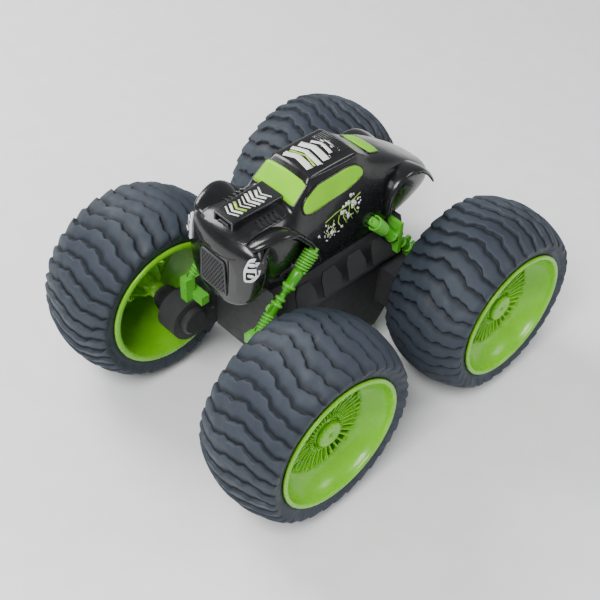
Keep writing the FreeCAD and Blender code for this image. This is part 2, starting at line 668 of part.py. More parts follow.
# ---------------------------------------------------------------- body
# Sections of the body from nose to tail: distance behind the middle, then half widths and heights of the
# lower edge, the widest line, the shoulder, the top edge and the crown.
BODY_SECTIONS = [
    (-83, (19, 108), (24, 120), (24.5, 138), (16, 147), (0.5, 149.5)),
    (-80.5, (23, 106), (29.5, 118), (30.5, 138), (21, 150), (0.5, 153.5)),
    (-72, (23, 101), (30.5, 117), (31.5, 138), (21, 155), (0.5, 159.4)),
    (-69.5, (21, 100), (26, 116), (27.5, 137), (19, 156.5), (0.5, 160)),
    (-36, (26, 114), (26, 130), (23, 147), (18, 162), (0.5, 165)),
    (-25, (26, 114), (26, 130), (22.5, 147), (18, 171), (0.5, 176)),
    (22, (26, 114), (26, 130), (22.5, 147), (18, 171), (0.5, 176)),
    (48, (24, 116), (25, 130), (22, 145), (15, 157), (0.5, 160)),
    (86, (17, 118), (19, 124), (17, 130), (11, 134), (0.5, 135)),
]


def body_loft(name, inset):
    """The body as a loft through its sections, drawn in by a wall."""
    wires = []
    last = len(BODY_SECTIONS) - 1
    for n, (y, *rings) in enumerate(BODY_SECTIONS):
        shift = inset if n == 0 else -inset if n == last else 0
        half = []
        for k, (x, z) in enumerate(rings):
            half.append((x - inset if k < 4 else x, z - inset if k > 2 else z))
        if inset:
            half[0] = (half[0][0], half[0][1] - 6)
        ring = [Vector(x, y + shift, z) for x, z in half]
        ring += [Vector(-x, y + shift, z) for x, z in reversed(half)]
        wires.append(Part.makePolygon(ring + ring[:1]))
    thing = document.addObject("Part::Feature", name)
    thing.Shape = Part.makeLoft(wires, True, True)
    return thing


def fender(name, points, inside, outside, wall):
    """An arched fender: a band that follows the points in side view."""
    upper = [Vector(inside, y, z) for y, z in points]
    lower = [Vector(inside, y, z - wall) for y, z in reversed(points)]
    wire = Part.makePolygon(upper + lower + upper[:1])
    thing = document.addObject("Part::Feature", name)
    thing.Shape = Part.Face(wire).extrude(Vector(outside - inside, 0, 0))
    return thing


FRONT_FENDER = [(-73.5, 150), (-70, 156), (-60, 159), (-50, 158.5), (-43, 153.5), (-36, 145.5), (-30, 137), (-26, 127)]
REAR_FENDER = [(38, 124), (46, 137), (58, 142), (70, 138), (80, 128)]


def body():
    """Body shell with fenders, its window insert, grille, headlamps, hood scoop and posts."""
    wall = value("shell_wall")
    outer = body_loft("BodyOuter", 0)
    inner = body_loft("BodyInner", wall)
    fenders = []
    for name, points in (("FrontFender", FRONT_FENDER), ("RearFender", REAR_FENDER)):
        left = fender(name, points, 20, 33, 2.5)
        fenders += both_sides(left, name, True)
    solid_body = fuse("BodySolid", outer, *fenders)
    shell = cut("BodyHollow", solid_body, inner)

    glass = [box("ScreenTool", ("-16", "-35.6", "150"), ("16", "-26", "180"))]
    side_wire = Part.makePolygon([Vector(0, y, z) for y, z in (
        (-21, 148), (-21, 154), (-13, 165), (14, 166), (18, 162), (16, 153), (8, 149), (-21, 148))])
    side_tool = document.addObject("Part::Feature", "SideWindowTool")
    side_tool.Shape = Part.Face(side_wire).extrude(Vector(40, 0, 0))
    glass += both_sides(side_tool, "SideWindowTool", True)
    glass.append(box("RearWindowTool", ("-12", "27", "150"), ("12", "43", "180")))
    windows = fuse("WindowTools", *glass)
    inserts = common("WindowInsert", shell, windows)
    piece(inserts, "window_insert")
    shell = cut("BodyWindowed", shell, windows)

    grille_tool = box("GrilleTool", ("-9.5", "-90", "115"), ("9.5", "-80", "142"))
    grille_block = common("GrilleBlock", shell, grille_tool)
    slots = [box("GrilleSlot%d" % n, ("-8", "-90", "%s" % z), ("8", "-78", "%s + 1.6" % z))
             for n, z in enumerate(range(117, 140, 3))]
    piece(cut("Grille", grille_block, *slots), "grille")
    lamp_tool = rod("LampTool", "5.2", "14", ("26.6", "-90", "143"), "y")
    lamps = both_sides(lamp_tool, "LampTool", True)
    lamp_room = fuse("LampTools", *lamps)
    lamp_block = common("LampBlock", shell, lamp_room)
    piece(lamp_block, "headlamps")
    sockets = [shock(name, *ends) for name, ends in (("FrontSocket", FRONT_SHOCK), ("RearSocket", REAR_SHOCK))]
    rooms = both_sides(sockets[0], "FrontSocket", True) + both_sides(sockets[1], "RearSocket", True)
    shell = cut("BodyOpen", shell, grille_tool, lamp_room, deck_block("Body"), *rooms)
    piece(shell, "body_shell")

    scoop_block = padded("ScoopBlock", "YZ_Plane", [
        ("-scoop_front", "150"), ("-scoop_front", "scoop_height - 1"), ("-scoop_front + 2", "scoop_height"),
        ("-scoop_rear", "scoop_height"), ("-scoop_rear", "150"),
    ], "-scoop_half_width", "2 * scoop_half_width")
    mouth = box("ScoopMouth", ("-scoop_half_width + 1.5", "-scoop_front - 1", "159"),
                ("scoop_half_width - 1.5", "-scoop_front + 8", "scoop_height - 2"))
    outer_again = body_loft("BodyUnderScoop", 0)
    piece(cut("Scoop", scoop_block, mouth, outer_again), "hood_scoop")

    front_post = rod("FrontPost", "post_radius", "50", ("11", "-46", "deck_top"), "z")
    rear_post = rod("RearPost", "post_radius", "50", ("11", "40", "deck_top"), "z")
    shell_room = body_loft("BodyRoom", wall)
    posts = [common(name + "Trimmed", post, shell_room) for name, post in
             (("FrontPost", front_post), ("RearPost", rear_post))]
    four = both_sides(posts[0], "FrontPost", True) + both_sides(posts[1], "RearPost", True)
    piece(group("Posts", *four), "body_posts")


# ---------------------------------------------------------------- shock absorbers
def shock(name, top, bottom):
    """A moulded dummy shock absorber: coil rings at both ends, collars and a slim rod between them."""
    ring = "shock_ring_radius"
    length = (bottom - top).Length
    corners = [("-3", "0"), ("-3", "3"), ("3", "3")]
    rod_size = "shock_rod_radius"
    collars = [
        (20, "4"), (25, "4"), (25, rod_size), (29, rod_size), (29, "3.4"),
        (31, "3.4"), (31, rod_size), (36, rod_size), (36, "3.6"), (38, "3.6"),
    ]
    end = [(51, "3.2"), (52, "2.6"), (length - 2, "2.6"), (length, "2"), (length, "0")]
    for start, rings, after in ((4, 6, collars), (40, 4, end)):
        for n in range(rings):
            x = start + 2.4 * n
            turn = [(x, "3.2"), (x + 0.6, ring), (x + 1.5, ring), (x + 2.1, "3.2")]
            corners += [("%s" % along, size) for along, size in turn]
        corners += [("%s" % along, size) for along, size in after]
    place = tuple("%s" % number for number in top)
    return revolved(name, corners, place, FreeCAD.Rotation(Vector(1, 0, 0), bottom - top))


def shocks():
    """Four shock absorbers and the green brackets that hold their ends."""
    for name, (top, bottom) in (("front", FRONT_SHOCK), ("rear", REAR_SHOCK)):
        both_sides(shock("Shock_" + name, top, bottom), "shock_absorber_" + name)
    arm_top = "tyre_radius + arm_radius"
    foot = box("FrontFootBlock", ("28.5", "-81", arm_top), ("34.5", "-74", "98"))
    bar = box("FrontFootBar", ("20", "-76", arm_top), ("38", "-70", "87"))
    blocks = {
        "FrontFoot": fuse("FrontFoot", foot, bar),
        "RearFoot": box("RearFoot", ("29", "56", arm_top), ("38", "66", "86")),
        "RearPlate": box("RearPlate", ("24", "42.5", "92"), ("35", "45.5", "116")),
    }
    parts = []
    for name, block in blocks.items():
        ends = FRONT_SHOCK if name == "FrontFoot" else REAR_SHOCK
        room = [shock(name + "Shock", *ends), body_loft(name + "Body", 0), deck_block(name)]
        seat = cut(name + "Seat", block, *room)
        parts += both_sides(seat, name, True)
    piece(group("Brackets", *parts), "shock_brackets")


def write_parts():
    """Checks every object and every sub-part, then writes one STEP file for each sub-part."""
    document.recompute()
    failed = [o.Label for o in document.Objects if {"Invalid", "Error"} & set(o.State)]
    if failed:
        raise RuntimeError("these objects failed: %s" % failed)
    os.makedirs("parts", exist_ok=True)
    for old in os.listdir("parts"):
        os.remove(os.path.join("parts", old))
    for thing in pieces:
        shape = thing.Shape
        if shape.isNull() or not shape.isValid() or not shape.Solids:
            raise RuntimeError("%s has no valid shape" % thing.Label)
        clean = shape if len(shape.Solids) > 1 else shape.Solids[0]
        clean.exportStep(os.path.join("parts", thing.Label + ".step"))
        print("%-28s %2d solids %10.1f mm3" % (thing.Label, len(shape.Solids), shape.Volume))
    print(len(pieces), "sub-parts")


tyre()
rim()
hub_caps()
axles()
gears()
arms()
motors()
tub()
deck()
screws()
body()
shocks()
write_parts()
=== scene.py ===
"""Looks of the radio-controlled stunt car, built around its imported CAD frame. Metres; the car faces -Y."""

import json
import math
import random

import bmesh
import bpy
from mathutils import Matrix, Vector
from mathutils.bvhtree import BVHTree


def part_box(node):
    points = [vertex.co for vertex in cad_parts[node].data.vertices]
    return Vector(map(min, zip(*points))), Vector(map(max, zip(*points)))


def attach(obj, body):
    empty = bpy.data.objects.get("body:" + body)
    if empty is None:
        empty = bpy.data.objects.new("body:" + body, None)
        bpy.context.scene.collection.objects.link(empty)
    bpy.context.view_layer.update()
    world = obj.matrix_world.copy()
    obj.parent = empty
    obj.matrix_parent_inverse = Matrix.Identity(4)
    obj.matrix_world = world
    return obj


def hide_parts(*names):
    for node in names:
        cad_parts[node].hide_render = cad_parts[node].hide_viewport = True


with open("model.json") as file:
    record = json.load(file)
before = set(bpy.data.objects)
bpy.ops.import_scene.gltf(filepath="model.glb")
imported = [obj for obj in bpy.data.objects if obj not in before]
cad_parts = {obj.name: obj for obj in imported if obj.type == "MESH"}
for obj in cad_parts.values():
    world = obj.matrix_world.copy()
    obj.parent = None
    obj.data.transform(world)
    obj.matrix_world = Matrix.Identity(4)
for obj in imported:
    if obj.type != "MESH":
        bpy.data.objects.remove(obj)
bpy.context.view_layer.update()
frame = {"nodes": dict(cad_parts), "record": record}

MM = 0.001
CORNERS = [("front_left", 1, -1), ("front_right", -1, -1), ("rear_left", 1, 1), ("rear_right", -1, 1)]


# ---------------------------------------------------------------- meshes
def put(name, data):
    """A new object in the scene with that mesh, curve, light or camera."""
    thing = bpy.data.objects.new(name, data)
    bpy.context.scene.collection.objects.link(thing)
    return thing


def add_mesh(name, points, faces, material, smooth=True):
    """A mesh object from points in millimetres."""
    mesh = bpy.data.meshes.new(name)
    mesh.from_pydata([tuple(MM * c for c in p) for p in points], [], faces)
    mesh.materials.append(material)
    mesh.validate()
    mesh.update()
    if smooth:
        mesh.shade_smooth()
    thing = put(name, mesh)
    return thing


def add_modifier(thing, kind, **settings):
    made = thing.modifiers.new(kind.title(), kind)
    for key, setting in settings.items():
        setattr(made, key, setting)
    return made


def bake_modifiers(thing):
    """Replaces the object's mesh by its modified mesh."""
    graph = bpy.context.evaluated_depsgraph_get()
    mesh = bpy.data.meshes.new_from_object(thing.evaluated_get(graph))
    thing.modifiers.clear()
    thing.data = mesh
    return thing


def soften(thing, width, segments=2, angle=35):
    """Rounds an object's sharp edges."""
    add_modifier(thing, "BEVEL", width=width * MM, segments=segments, limit_method="ANGLE",
                 angle_limit=math.radians(angle), harden_normals=False)
    return thing


def grid_faces(rows, columns, close_rows=False, close_columns=False):
    """Quads of a grid of points that was listed row by row."""
    faces = []
    for r in range(rows if close_rows else rows - 1):
        for c in range(columns if close_columns else columns - 1):
            r2 = (r + 1) % rows
            c2 = (c + 1) % columns
            faces.append((r * columns + c, r * columns + c2, r2 * columns + c2, r2 * columns + c))
    return faces


def join(name, things):
    """Joins several mesh objects into one."""
    bpy.ops.object.select_all(action="DESELECT")
    for thing in things:
        thing.select_set(True)
    bpy.context.view_layer.objects.active = things[0]
    bpy.ops.object.join()
    things[0].name = name
    things[0].data.name = name
    return things[0]


def tube(name, paths, radius, material, closed=True, resolution=3):
    """Round wires along paths of points in millimetres."""
    curve = bpy.data.curves.new(name, "CURVE")
    curve.dimensions = "3D"
    curve.bevel_depth = radius * MM
    curve.bevel_resolution = resolution
    curve.resolution_u = 4
    curve.use_fill_caps = True
    for path in paths:
        spline = curve.splines.new("POLY")
        spline.points.add(len(path) - 1)
        for point, place in zip(spline.points, path):
            point.co = tuple(MM * c for c in place) + (1.0,)
        spline.use_cyclic_u = closed
    curve.materials.append(material)
    maker = put(name + "_path", curve)
    graph = bpy.context.evaluated_depsgraph_get()
    mesh = bpy.data.meshes.new_from_object(maker.evaluated_get(graph))
    bpy.data.objects.remove(maker)
    bpy.data.curves.remove(curve)
    mesh.name = name
    mesh.shade_smooth()
    thing = put(name, mesh)
    return thing


def lathe(name, profile, material, steps=144):
    """A closed profile of (along X, radius) turned about X."""
    points = []
    for step in range(steps):
        angle = 2 * math.pi * step / steps
        points += [(x, r * math.cos(angle), r * math.sin(angle)) for x, r in profile]
    return add_mesh(name, points, grid_faces(steps, len(profile), True, True), material)


def rounded(corners, radius, steps=5):
    """A closed flat outline with its corners rounded."""
    outline = []
    count = len(corners)
    for i, corner in enumerate(corners):
        here = Vector(corner[:2])
        before = Vector(corners[i - 1][:2]) - here
        after = Vector(corners[(i + 1) % count][:2]) - here
        reach = min(corner[2] if len(corner) > 2 else radius, 0.45 * before.length, 0.45 * after.length)
        start = here + before.normalized() * reach
        end = here + after.normalized() * reach
        for step in range(steps + 1):
            t = step / steps
            outline.append(start * (1 - t) ** 2 + here * 2 * t * (1 - t) + end * t ** 2)
    return [tuple(p) for p in outline]


def mix(a, b, t):
    return a + (b - a) * t


# ---------------------------------------------------------------- materials
class Surface:
    """A procedural material: a principled shader with a few noise layers."""

    def __init__(self, name, roughness, metallic=0.0, coat=0.0, specular=0.5, subsurface=0.0):
        self.material = bpy.data.materials.new(name)
        self.material.use_nodes = True
        self.tree = self.material.node_tree
        self.shader = self.tree.nodes["Principled BSDF"]
        self.set("Roughness", roughness)
        self.set("Metallic", metallic)
        self.set("Coat Weight", coat)
        self.set("Coat Roughness", 0.06)
        self.set("Specular IOR Level", specular)
        self.set("Subsurface Weight", subsurface)
        self.set("Subsurface Scale", 0.002)
        self.place = self.node("ShaderNodeTexCoord").outputs["Object"]

    def set(self, socket, value):
        self.shader.inputs[socket].default_value = value

    def node(self, kind, **settings):
        made = self.tree.nodes.new(kind)
        for key, setting in settings.items():
            setattr(made, key, setting)
        return made

    def link(self, a, b):
        self.tree.links.new(a, b)

    def noise(self, scale, detail=3.0, roughness=0.5, stretch=None):
        """Noise by place, optionally stretched along an axis."""
        made = self.node("ShaderNodeTexNoise")
        made.inputs["Scale"].default_value = scale
        made.inputs["Detail"].default_value = detail
        made.inputs["Roughness"].default_value = roughness
        place = self.place
        if stretch:
            mapping = self.node("ShaderNodeMapping")
            mapping.inputs["Scale"].default_value = stretch
            self.link(place, mapping.inputs["Vector"])
            place = mapping.outputs["Vector"]
        self.link(place, made.inputs["Vector"])
        return made.outputs["Fac"]

    def ramp(self, source, stops):
        """Colours along a value: stops are (position, colour)."""
        made = self.node("ShaderNodeValToRGB")
        ramp = made.color_ramp
        while len(ramp.elements) < len(stops):
            ramp.elements.new(0.5)
        for element, (position, colour) in zip(ramp.elements, stops):
            element.position = position
            element.color = tuple(colour) + (1.0,)
        self.link(source, made.inputs["Fac"])
        return made.outputs["Color"]

    def range(self, source, low, high, start=0.0, end=1.0):
        made = self.node("ShaderNodeMapRange")
        for socket, number in (("From Min", start), ("From Max", end), ("To Min", low), ("To Max", high)):
            made.inputs[socket].default_value = number
        self.link(source, made.inputs["Value"])
        return made.outputs["Result"]

    def blend(self, factor, first, second, mode="MIX"):
        """Mixes two colours by a factor that varies over the surface."""
        made = self.node("ShaderNodeMix", data_type="RGBA", blend_type=mode)
        inputs = [s for s in made.inputs if s.type == "RGBA"]
        for socket, given in zip(inputs, (first, second)):
            if isinstance(given, tuple):
                socket.default_value = given + (1.0,)
            else:
                self.link(given, socket)
        self.link(factor, made.inputs[0])
        return [s for s in made.outputs if s.type == "RGBA"][0]

    def colour(self, source):
        self.link(source, self.shader.inputs["Base Color"])

    def rough(self, source):
        self.link(source, self.shader.inputs["Roughness"])

    def bump(self, source, distance, strength=1.0):
        """Adds a bump layer of that depth in millimetres."""
        made = self.node("ShaderNodeBump")
        made.inputs["Distance"].default_value = distance * MM
        made.inputs["Strength"].default_value = strength
        self.link(source, made.inputs["Height"])
        socket = self.shader.inputs["Normal"]
        if socket.is_linked:
            self.link(socket.links[0].from_socket, made.inputs["Normal"])
        self.link(made.outputs["Normal"], socket)

    def edge(self, width):
        """0 on flat places and 1 on edges that the mesh turns away from."""
        made = self.node("ShaderNodeNewGeometry")
        return self.range(made.outputs["Pointiness"], 0.0, 1.0, 0.5, 0.5 + width)


def plastic(name, dark, light, roughness, grain=0.03, coat=0.0, specular=0.5, subsurface=0.0, wear=None):
    """Moulded plastic: slight colour drift, uneven gloss, fine grain and paler worn edges."""
    surface = Surface(name, roughness, coat=coat, specular=specular, subsurface=subsurface)
    drift = surface.ramp(surface.noise(45.0, 4.0), [(0.3, dark), (0.7, light)])
    if wear:
        drift = surface.blend(surface.edge(0.06), drift, wear)
    surface.colour(drift)
    surface.rough(surface.range(surface.noise(160.0, 4.0), roughness * 0.75, roughness * 1.3, 0.3, 0.7))
    surface.bump(surface.noise(1400.0, 2.0), grain)
    surface.bump(surface.noise(60.0, 2.0), grain * 2.5, 0.4)
    return surface.material


def metal(name, dark, light, roughness, stretch=None):
    """Bare metal with fine turning or drawing marks."""
    surface = Surface(name, roughness, metallic=1.0)
    surface.colour(surface.ramp(surface.noise(90.0, 4.0), [(0.3, dark), (0.7, light)]))
    marks = surface.noise(500.0, 2.0, stretch=stretch)
    surface.rough(surface.range(marks, roughness * 0.7, roughness * 1.4, 0.3, 0.7))
    surface.bump(marks, 0.02)
    return surface.material


def rubber():
    """Slate-blue rubber on the crowns of the ribs, with painted shade darkening the steps and the tyre's
    inside, and a soft matte grain.
    """
    surface = Surface("tyre_rubber", 0.62, specular=0.32)
    drift = surface.ramp(surface.noise(38.0, 5.0, 0.6),
                         [(0.25, (0.024, 0.031, 0.043)), (0.75, (0.040, 0.050, 0.066))])
    # Painted shade: the crown attribute blends the colour towards near black low in the steps and on the
    # tyre's inside.
    step = surface.node("ShaderNodeAttribute", attribute_name="crown")
    drift = surface.blend(surface.range(step.outputs["Fac"], 0.0, 1.0, 0.0, 0.55), (0.006, 0.008, 0.012),
                          drift)
    surface.colour(drift)
    surface.rough(surface.range(surface.noise(120.0, 4.0), 0.50, 0.78, 0.3, 0.7))
    surface.bump(surface.noise(900.0, 3.0), 0.05)
    surface.bump(surface.noise(140.0, 3.0), 0.12, 0.5)
    return surface.material


MATERIALS = {
    "tyre_rubber": rubber(),
    "lime_plastic": plastic("lime_plastic", (0.15, 0.46, 0.006), (0.20, 0.56, 0.012), 0.28, 0.015,
                            coat=0.2, specular=0.35, subsurface=0.08),
    "lime_window": plastic("lime_window", (0.19, 0.56, 0.002), (0.25, 0.66, 0.003), 0.34, 0.012, coat=0.1,
                           specular=0.25),
    "shock_plastic": plastic("shock_plastic", (0.035, 0.25, 0.006), (0.06, 0.33, 0.01), 0.30, 0.02,
                             coat=0.15, specular=0.35, wear=(0.10, 0.42, 0.03)),
    "body_gloss": plastic("body_gloss", (0.0025, 0.0025, 0.003), (0.006, 0.006, 0.007), 0.24, 0.008,
                          coat=0.3, specular=0.4, wear=(0.016, 0.016, 0.018)),
    "chassis_plastic": plastic("chassis_plastic", (0.006, 0.006, 0.007), (0.012, 0.012, 0.014), 0.42, 0.05,
                               specular=0.25, wear=(0.035, 0.035, 0.037)),
    "hollow_black": plastic("hollow_black", (0.002, 0.002, 0.002), (0.005, 0.005, 0.005), 0.7, 0.05),
    "lamp_silver": plastic("lamp_silver", (0.62, 0.63, 0.65), (0.82, 0.83, 0.85), 0.18, 0.01, coat=0.5),
    "grille_mesh": plastic("grille_mesh", (0.03, 0.03, 0.032), (0.055, 0.055, 0.058), 0.35, 0.02),
    "gear_plastic": plastic("gear_plastic", (0.62, 0.60, 0.54), (0.74, 0.72, 0.66), 0.4, 0.03),
    "battery_wrap": plastic("battery_wrap", (0.012, 0.05, 0.22), (0.02, 0.08, 0.30), 0.3, 0.03),
    "circuit_board": plastic("circuit_board", (0.008, 0.09, 0.03), (0.015, 0.14, 0.05), 0.4, 0.04),
    "print_white": plastic("print_white", (0.68, 0.68, 0.66), (0.82, 0.82, 0.80), 0.35, 0.01, coat=0.3),
    "print_lime": plastic("print_lime", (0.30, 0.55, 0.03), (0.36, 0.63, 0.05), 0.35, 0.01, coat=0.3),
    "brass": metal("brass", (0.50, 0.34, 0.10), (0.70, 0.50, 0.20), 0.3),
    "steel": metal("steel", (0.42, 0.43, 0.45), (0.60, 0.61, 0.63), 0.3, (1.0, 8.0, 8.0)),
    "motor_can": metal("motor_can", (0.45, 0.46, 0.48), (0.62, 0.63, 0.65), 0.35, (10.0, 1.0, 1.0)),
}


def finish_piece(thing, body, slot, *nodes):
    """Rides a piece on a body and hides the CAD nodes that it stands for; the finish slot is not used."""
    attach(thing, body)
    if nodes:
        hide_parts(*nodes)
    return thing


# ---------------------------------------------------------------- tyres
RIBS = 36
TYRE_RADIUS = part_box("tyre_front_left")[1][2] / MM / 2
TYRE_HALF_WIDTH = (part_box("tyre_front_left")[1][0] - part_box("tyre_front_left")[0][0]) / MM / 2


def wheel_centre(corner):
    low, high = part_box("tyre_" + corner)
    return Vector(((low[0] + high[0]) / 2, (low[1] + high[1]) / 2, (low[2] + high[2]) / 2))


def tyre_profile():
    """(along X, radius, tread depth) from the outer bead over the crown to the inner bead."""
    half = TYRE_HALF_WIDTH
    shoulder = TYRE_RADIUS - 9.5
    rows = []
    for t in range(5):
        u = t / 5
        rows.append((half - 3.4 + 1.6 * math.sin(u * math.pi / 2), mix(44.2, 49.5, u), 0.15 * u))
    crown = (half ** 2 + 9.5 ** 2) / (2 * 9.5)
    limit = math.asin((half - 1.5) / crown)
    for t in range(6):
        u = t / 6
        x = mix(half - 1.8, half - 0.2, math.sin(u * math.pi / 2))
        rows.append((x, mix(49.5, shoulder, u), mix(0.25, 0.95, u)))
    for t in range(31):
        angle = mix(limit, -limit, t / 30)
        x = crown * math.sin(angle)
        drop = crown * (1 - math.cos(angle))
        rows.append((x, TYRE_RADIUS - drop, 1.0))
    for x, r, depth in reversed(rows[:11]):
        rows.append((-x, r, depth))
    return rows


def tread_wave(x, rib):
    """How far a rib's edge wanders round the tyre at a place across it, in rib pitches."""
    wander = 0.34 * math.sin(x * 0.115 + rib * 0.35) + 0.13 * math.sin(x * 0.43 + rib * 2.4)
    nicks = 0.075 * math.sin(x * 0.95 + rib * 4.1)
    return wander + nicks


def tyre(corner, side, end):
    """Balloon tyre with overlapping wavy ribs across a crowned tread."""
    profile = tyre_profile()
    steps = [(0.0, 1.0), (0.035, 0.93), (0.075, 0.42), (0.11, 0.06), (0.15, 0.0), (0.22, 0.10), (0.34, 0.30),
             (0.48, 0.52), (0.62, 0.72), (0.76, 0.87), (0.88, 0.96), (0.95, 1.0)]
    depth_at_crown = 2.3
    points = []
    painted_step_shade = []
    inner = [(x * 0.90, r - 3.2 if abs(r - 44.2) > 0.3 else r) for x, r, _ in reversed(profile)]
    for rib in range(RIBS):
        for place, height in steps:
            for x, r, depth in profile:
                wave = mix(tread_wave(x, rib), tread_wave(x, rib + 1 if rib + 1 < RIBS else 0), place)
                angle = end * 2 * math.pi * (rib + place + 0.8 * wave * min(1.0, depth + 0.2)) / RIBS
                radius = r - depth_at_crown * depth * (1 - height)
                points.append((side * x, radius * math.cos(angle), radius * math.sin(angle)))
                # Painted shade: 1 on the crowns and less in the steps, which the rubber shows as darker
                # colour.
                painted_step_shade.append(mix(1.0, height, min(1.0, depth)))
            angle = end * 2 * math.pi * (rib + place) / RIBS
            for x, r in inner:
                points.append((side * x, r * math.cos(angle), r * math.sin(angle)))
                # Painted shade for the tyre's inside.
                painted_step_shade.append(0.3)
    rows = RIBS * len(steps)
    piece = add_mesh("tread_" + corner, points, grid_faces(rows, len(profile) + len(inner), True, True),
                     MATERIALS["tyre_rubber"])
    attribute = piece.data.attributes.new("crown", "FLOAT", "POINT")
    attribute.data.foreach_set("value", painted_step_shade)
    fix_normals(piece)
    piece.location = wheel_centre(corner)
    settle(piece)
    return finish_piece(piece, "wheel_" + corner, "tyre_rubber", "tyre_" + corner)


def fix_normals(thing):
    """Makes every face point outwards."""
    mesh = bmesh.new()
    mesh.from_mesh(thing.data)
    bmesh.ops.recalc_face_normals(mesh, faces=mesh.faces)
    mesh.to_mesh(thing.data)
    mesh.free()


def settle(thing):
    """Moves an object's place and turn into its mesh."""
    bpy.context.view_layer.update()
    thing.data.transform(thing.matrix_world)
    thing.matrix_world = Matrix()


# ---------------------------------------------------------------- rims
BOWL = 29.5         # radius of the bowl where it meets the spoke disc
DISC = 15.0         # place of the spoke disc along X
BORE = 43.0         # inner radius of the barrel under the tyre
WALL = 2.0
LOOPS = 18          # wire loops in front, and as many behind
LOOP_RADII = (10.5, 25.8)
COIL_RADIUS = 12.2


def turned(points, angle):
    """Points turned about X."""
    c = math.cos(angle)
    s = math.sin(angle)
    return [(x, y * c - z * s, y * s + z * c) for x, y, z in points]


def spoke_loop(half_gap, inner, outer, base, rise):
    """A wire loop: out along one spoke, round a U and back along the next."""
    path = []
    for t in range(8):
        u = t / 7
        path.append((base + rise * u ** 3, -half_gap * mix(0.55, 1.0, u), mix(inner, outer, u)))
    for t in range(1, 8):
        angle = math.pi * t / 8
        path.append((base + rise * (1 + 0.25 * math.sin(angle)), -half_gap * math.cos(angle),
                     outer + half_gap * math.sin(angle)))
    for x, y, z in reversed(path[:8]):
        path.append((x, -y, z))
    return path


def coil_ring(radius, thickness, turns, place):
    """A small coil wound round a ring."""
    path = []
    for step in range(turns * 10):
        angle = 2 * math.pi * step / (turns * 10)
        wind = angle * turns
        r = radius + thickness * math.cos(wind)
        path.append((place + thickness * math.sin(wind), r * math.cos(angle), r * math.sin(angle)))
    return path


def rim(corner, side):
    """Deep lime bowl, wire-like spokes in loops round a beaded ring, and vanes on the inner side."""
    lime = MATERIALS["lime_plastic"]
    outline = []
    for t in range(13):
        u = t / 12
        outline.append((mix(DISC + 1.0, 30.4, u ** 1.25), mix(BOWL, 42.6, math.sin(u * math.pi / 2) ** 0.9)))
    outline += [(31.0, 43.4), (31.0, 44.8), (30.4, 45.4), (29.4, 45.4), (29.0, 44.8), (28.6, BORE)]
    outline += [(-28.6, BORE), (-29.0, 44.8), (-29.4, 45.4), (-30.4, 45.4), (-31.0, 44.8), (-31.0, 42.4),
                (-30.2, BORE - WALL), (20.0, BORE - WALL), (DISC + 2.0, 34.0), (DISC - 0.8, BOWL)]
    parts = [lathe("rim_bowl_" + corner, [(side * x, r) for x, r in outline], lime)]
    hub = [(DISC + 3.6, 0.6), (DISC + 3.6, 8.2), (DISC + 3.0, 9.2), (DISC + 1.0, 10.2), (DISC - 0.6, 10.2),
           (DISC - 3.0, 8.0), (-8.0, 5.5), (-17.0, 5.5), (-17.0, 2.1), (DISC - 2.0, 2.1), (DISC - 2.0, 0.6)]
    parts.append(lathe("rim_hub_" + corner, [(side * x, r) for x, r in hub], lime, 64))
    pitch = 2 * math.pi / (2 * LOOPS)
    half_gap = 26.0 * pitch * 0.5
    paths = []
    for n in range(LOOPS):
        front = spoke_loop(half_gap, *LOOP_RADII, DISC + 1.2, 1.6)
        paths.append([(side * x, y, z) for x, y, z in turned(front, 2 * pitch * n)])
        back = spoke_loop(half_gap, *LOOP_RADII, DISC - 0.8, -1.6)
        paths.append([(side * x, y, z) for x, y, z in turned(back, 2 * pitch * (n + 0.5))])
    parts.append(tube("rim_loops_" + corner, paths, 0.55, lime, closed=False, resolution=2))
    for name, place in (("rim_coil_", DISC + 1.6), ("rim_coil_in_", DISC - 2.4)):
        coil = [(side * x, y, z) for x, y, z in coil_ring(COIL_RADIUS, 1.5, 36, place)]
        parts.append(tube(name + corner, [coil], 0.5, lime, resolution=2))
    parts.append(spoke_disc(corner, side, lime))
    parts += vanes(corner, side, lime)
    for part in parts:
        fix_normals(part)
    piece = join("wheel_rim_" + corner, parts)
    piece.location = wheel_centre(corner)
    settle(piece)
    return finish_piece(piece, "wheel_" + corner, "lime_plastic", "rim_" + corner)


def spoke_disc(corner, side, material):
    """Slim radial spokes between the hub and the bowl, with open slots between them."""
    count = 36
    points = []
    faces = []
    for n in range(count):
        base = len(points)
        for x in (DISC - 0.4, DISC + 1.2):
            for r, half in ((9.8, 0.42), (BOWL + 0.6, 0.8)):
                block = turned([(side * x, -half, r), (side * x, half, r)], 2 * math.pi * (n + 0.5) / count)
                points += block
        for quad in ((0, 1, 3, 2), (4, 6, 7, 5), (0, 2, 6, 4), (1, 5, 7, 3), (0, 4, 5, 1), (2, 3, 7, 6)):
            faces.append(tuple(base + q for q in quad))
    return add_mesh("rim_spokes_" + corner, points, faces, material, smooth=False)


def vanes(corner, side, material):
    """Triangular vanes that rise from the disc to the inner hub like a star."""
    made = []
    for n in range(6):
        outline = [(DISC - 0.4, 5.0), (DISC - 0.4, 28.0), (DISC - 3.0, 26.5), (DISC - 14.0, 14.0),
                   (-10.0, 8.5),
                   (-12.0, 5.0)]
        half = 1.0
        points = [(side * x, -half, r) for x, r in outline] + [(side * x, half, r) for x, r in outline]
        size = len(outline)
        faces = [tuple(range(size)), tuple(reversed(range(size, 2 * size)))]
        faces += [(i, i + size, (i + 1) % size + size, (i + 1) % size) for i in range(size)]
        vane = add_mesh("rim_vane%d_%s" % (n, corner), turned(points, math.pi * n / 3), faces, material,
                        False)
        soften(vane, 0.4)
        made.append(bake_modifiers(vane))
    return made


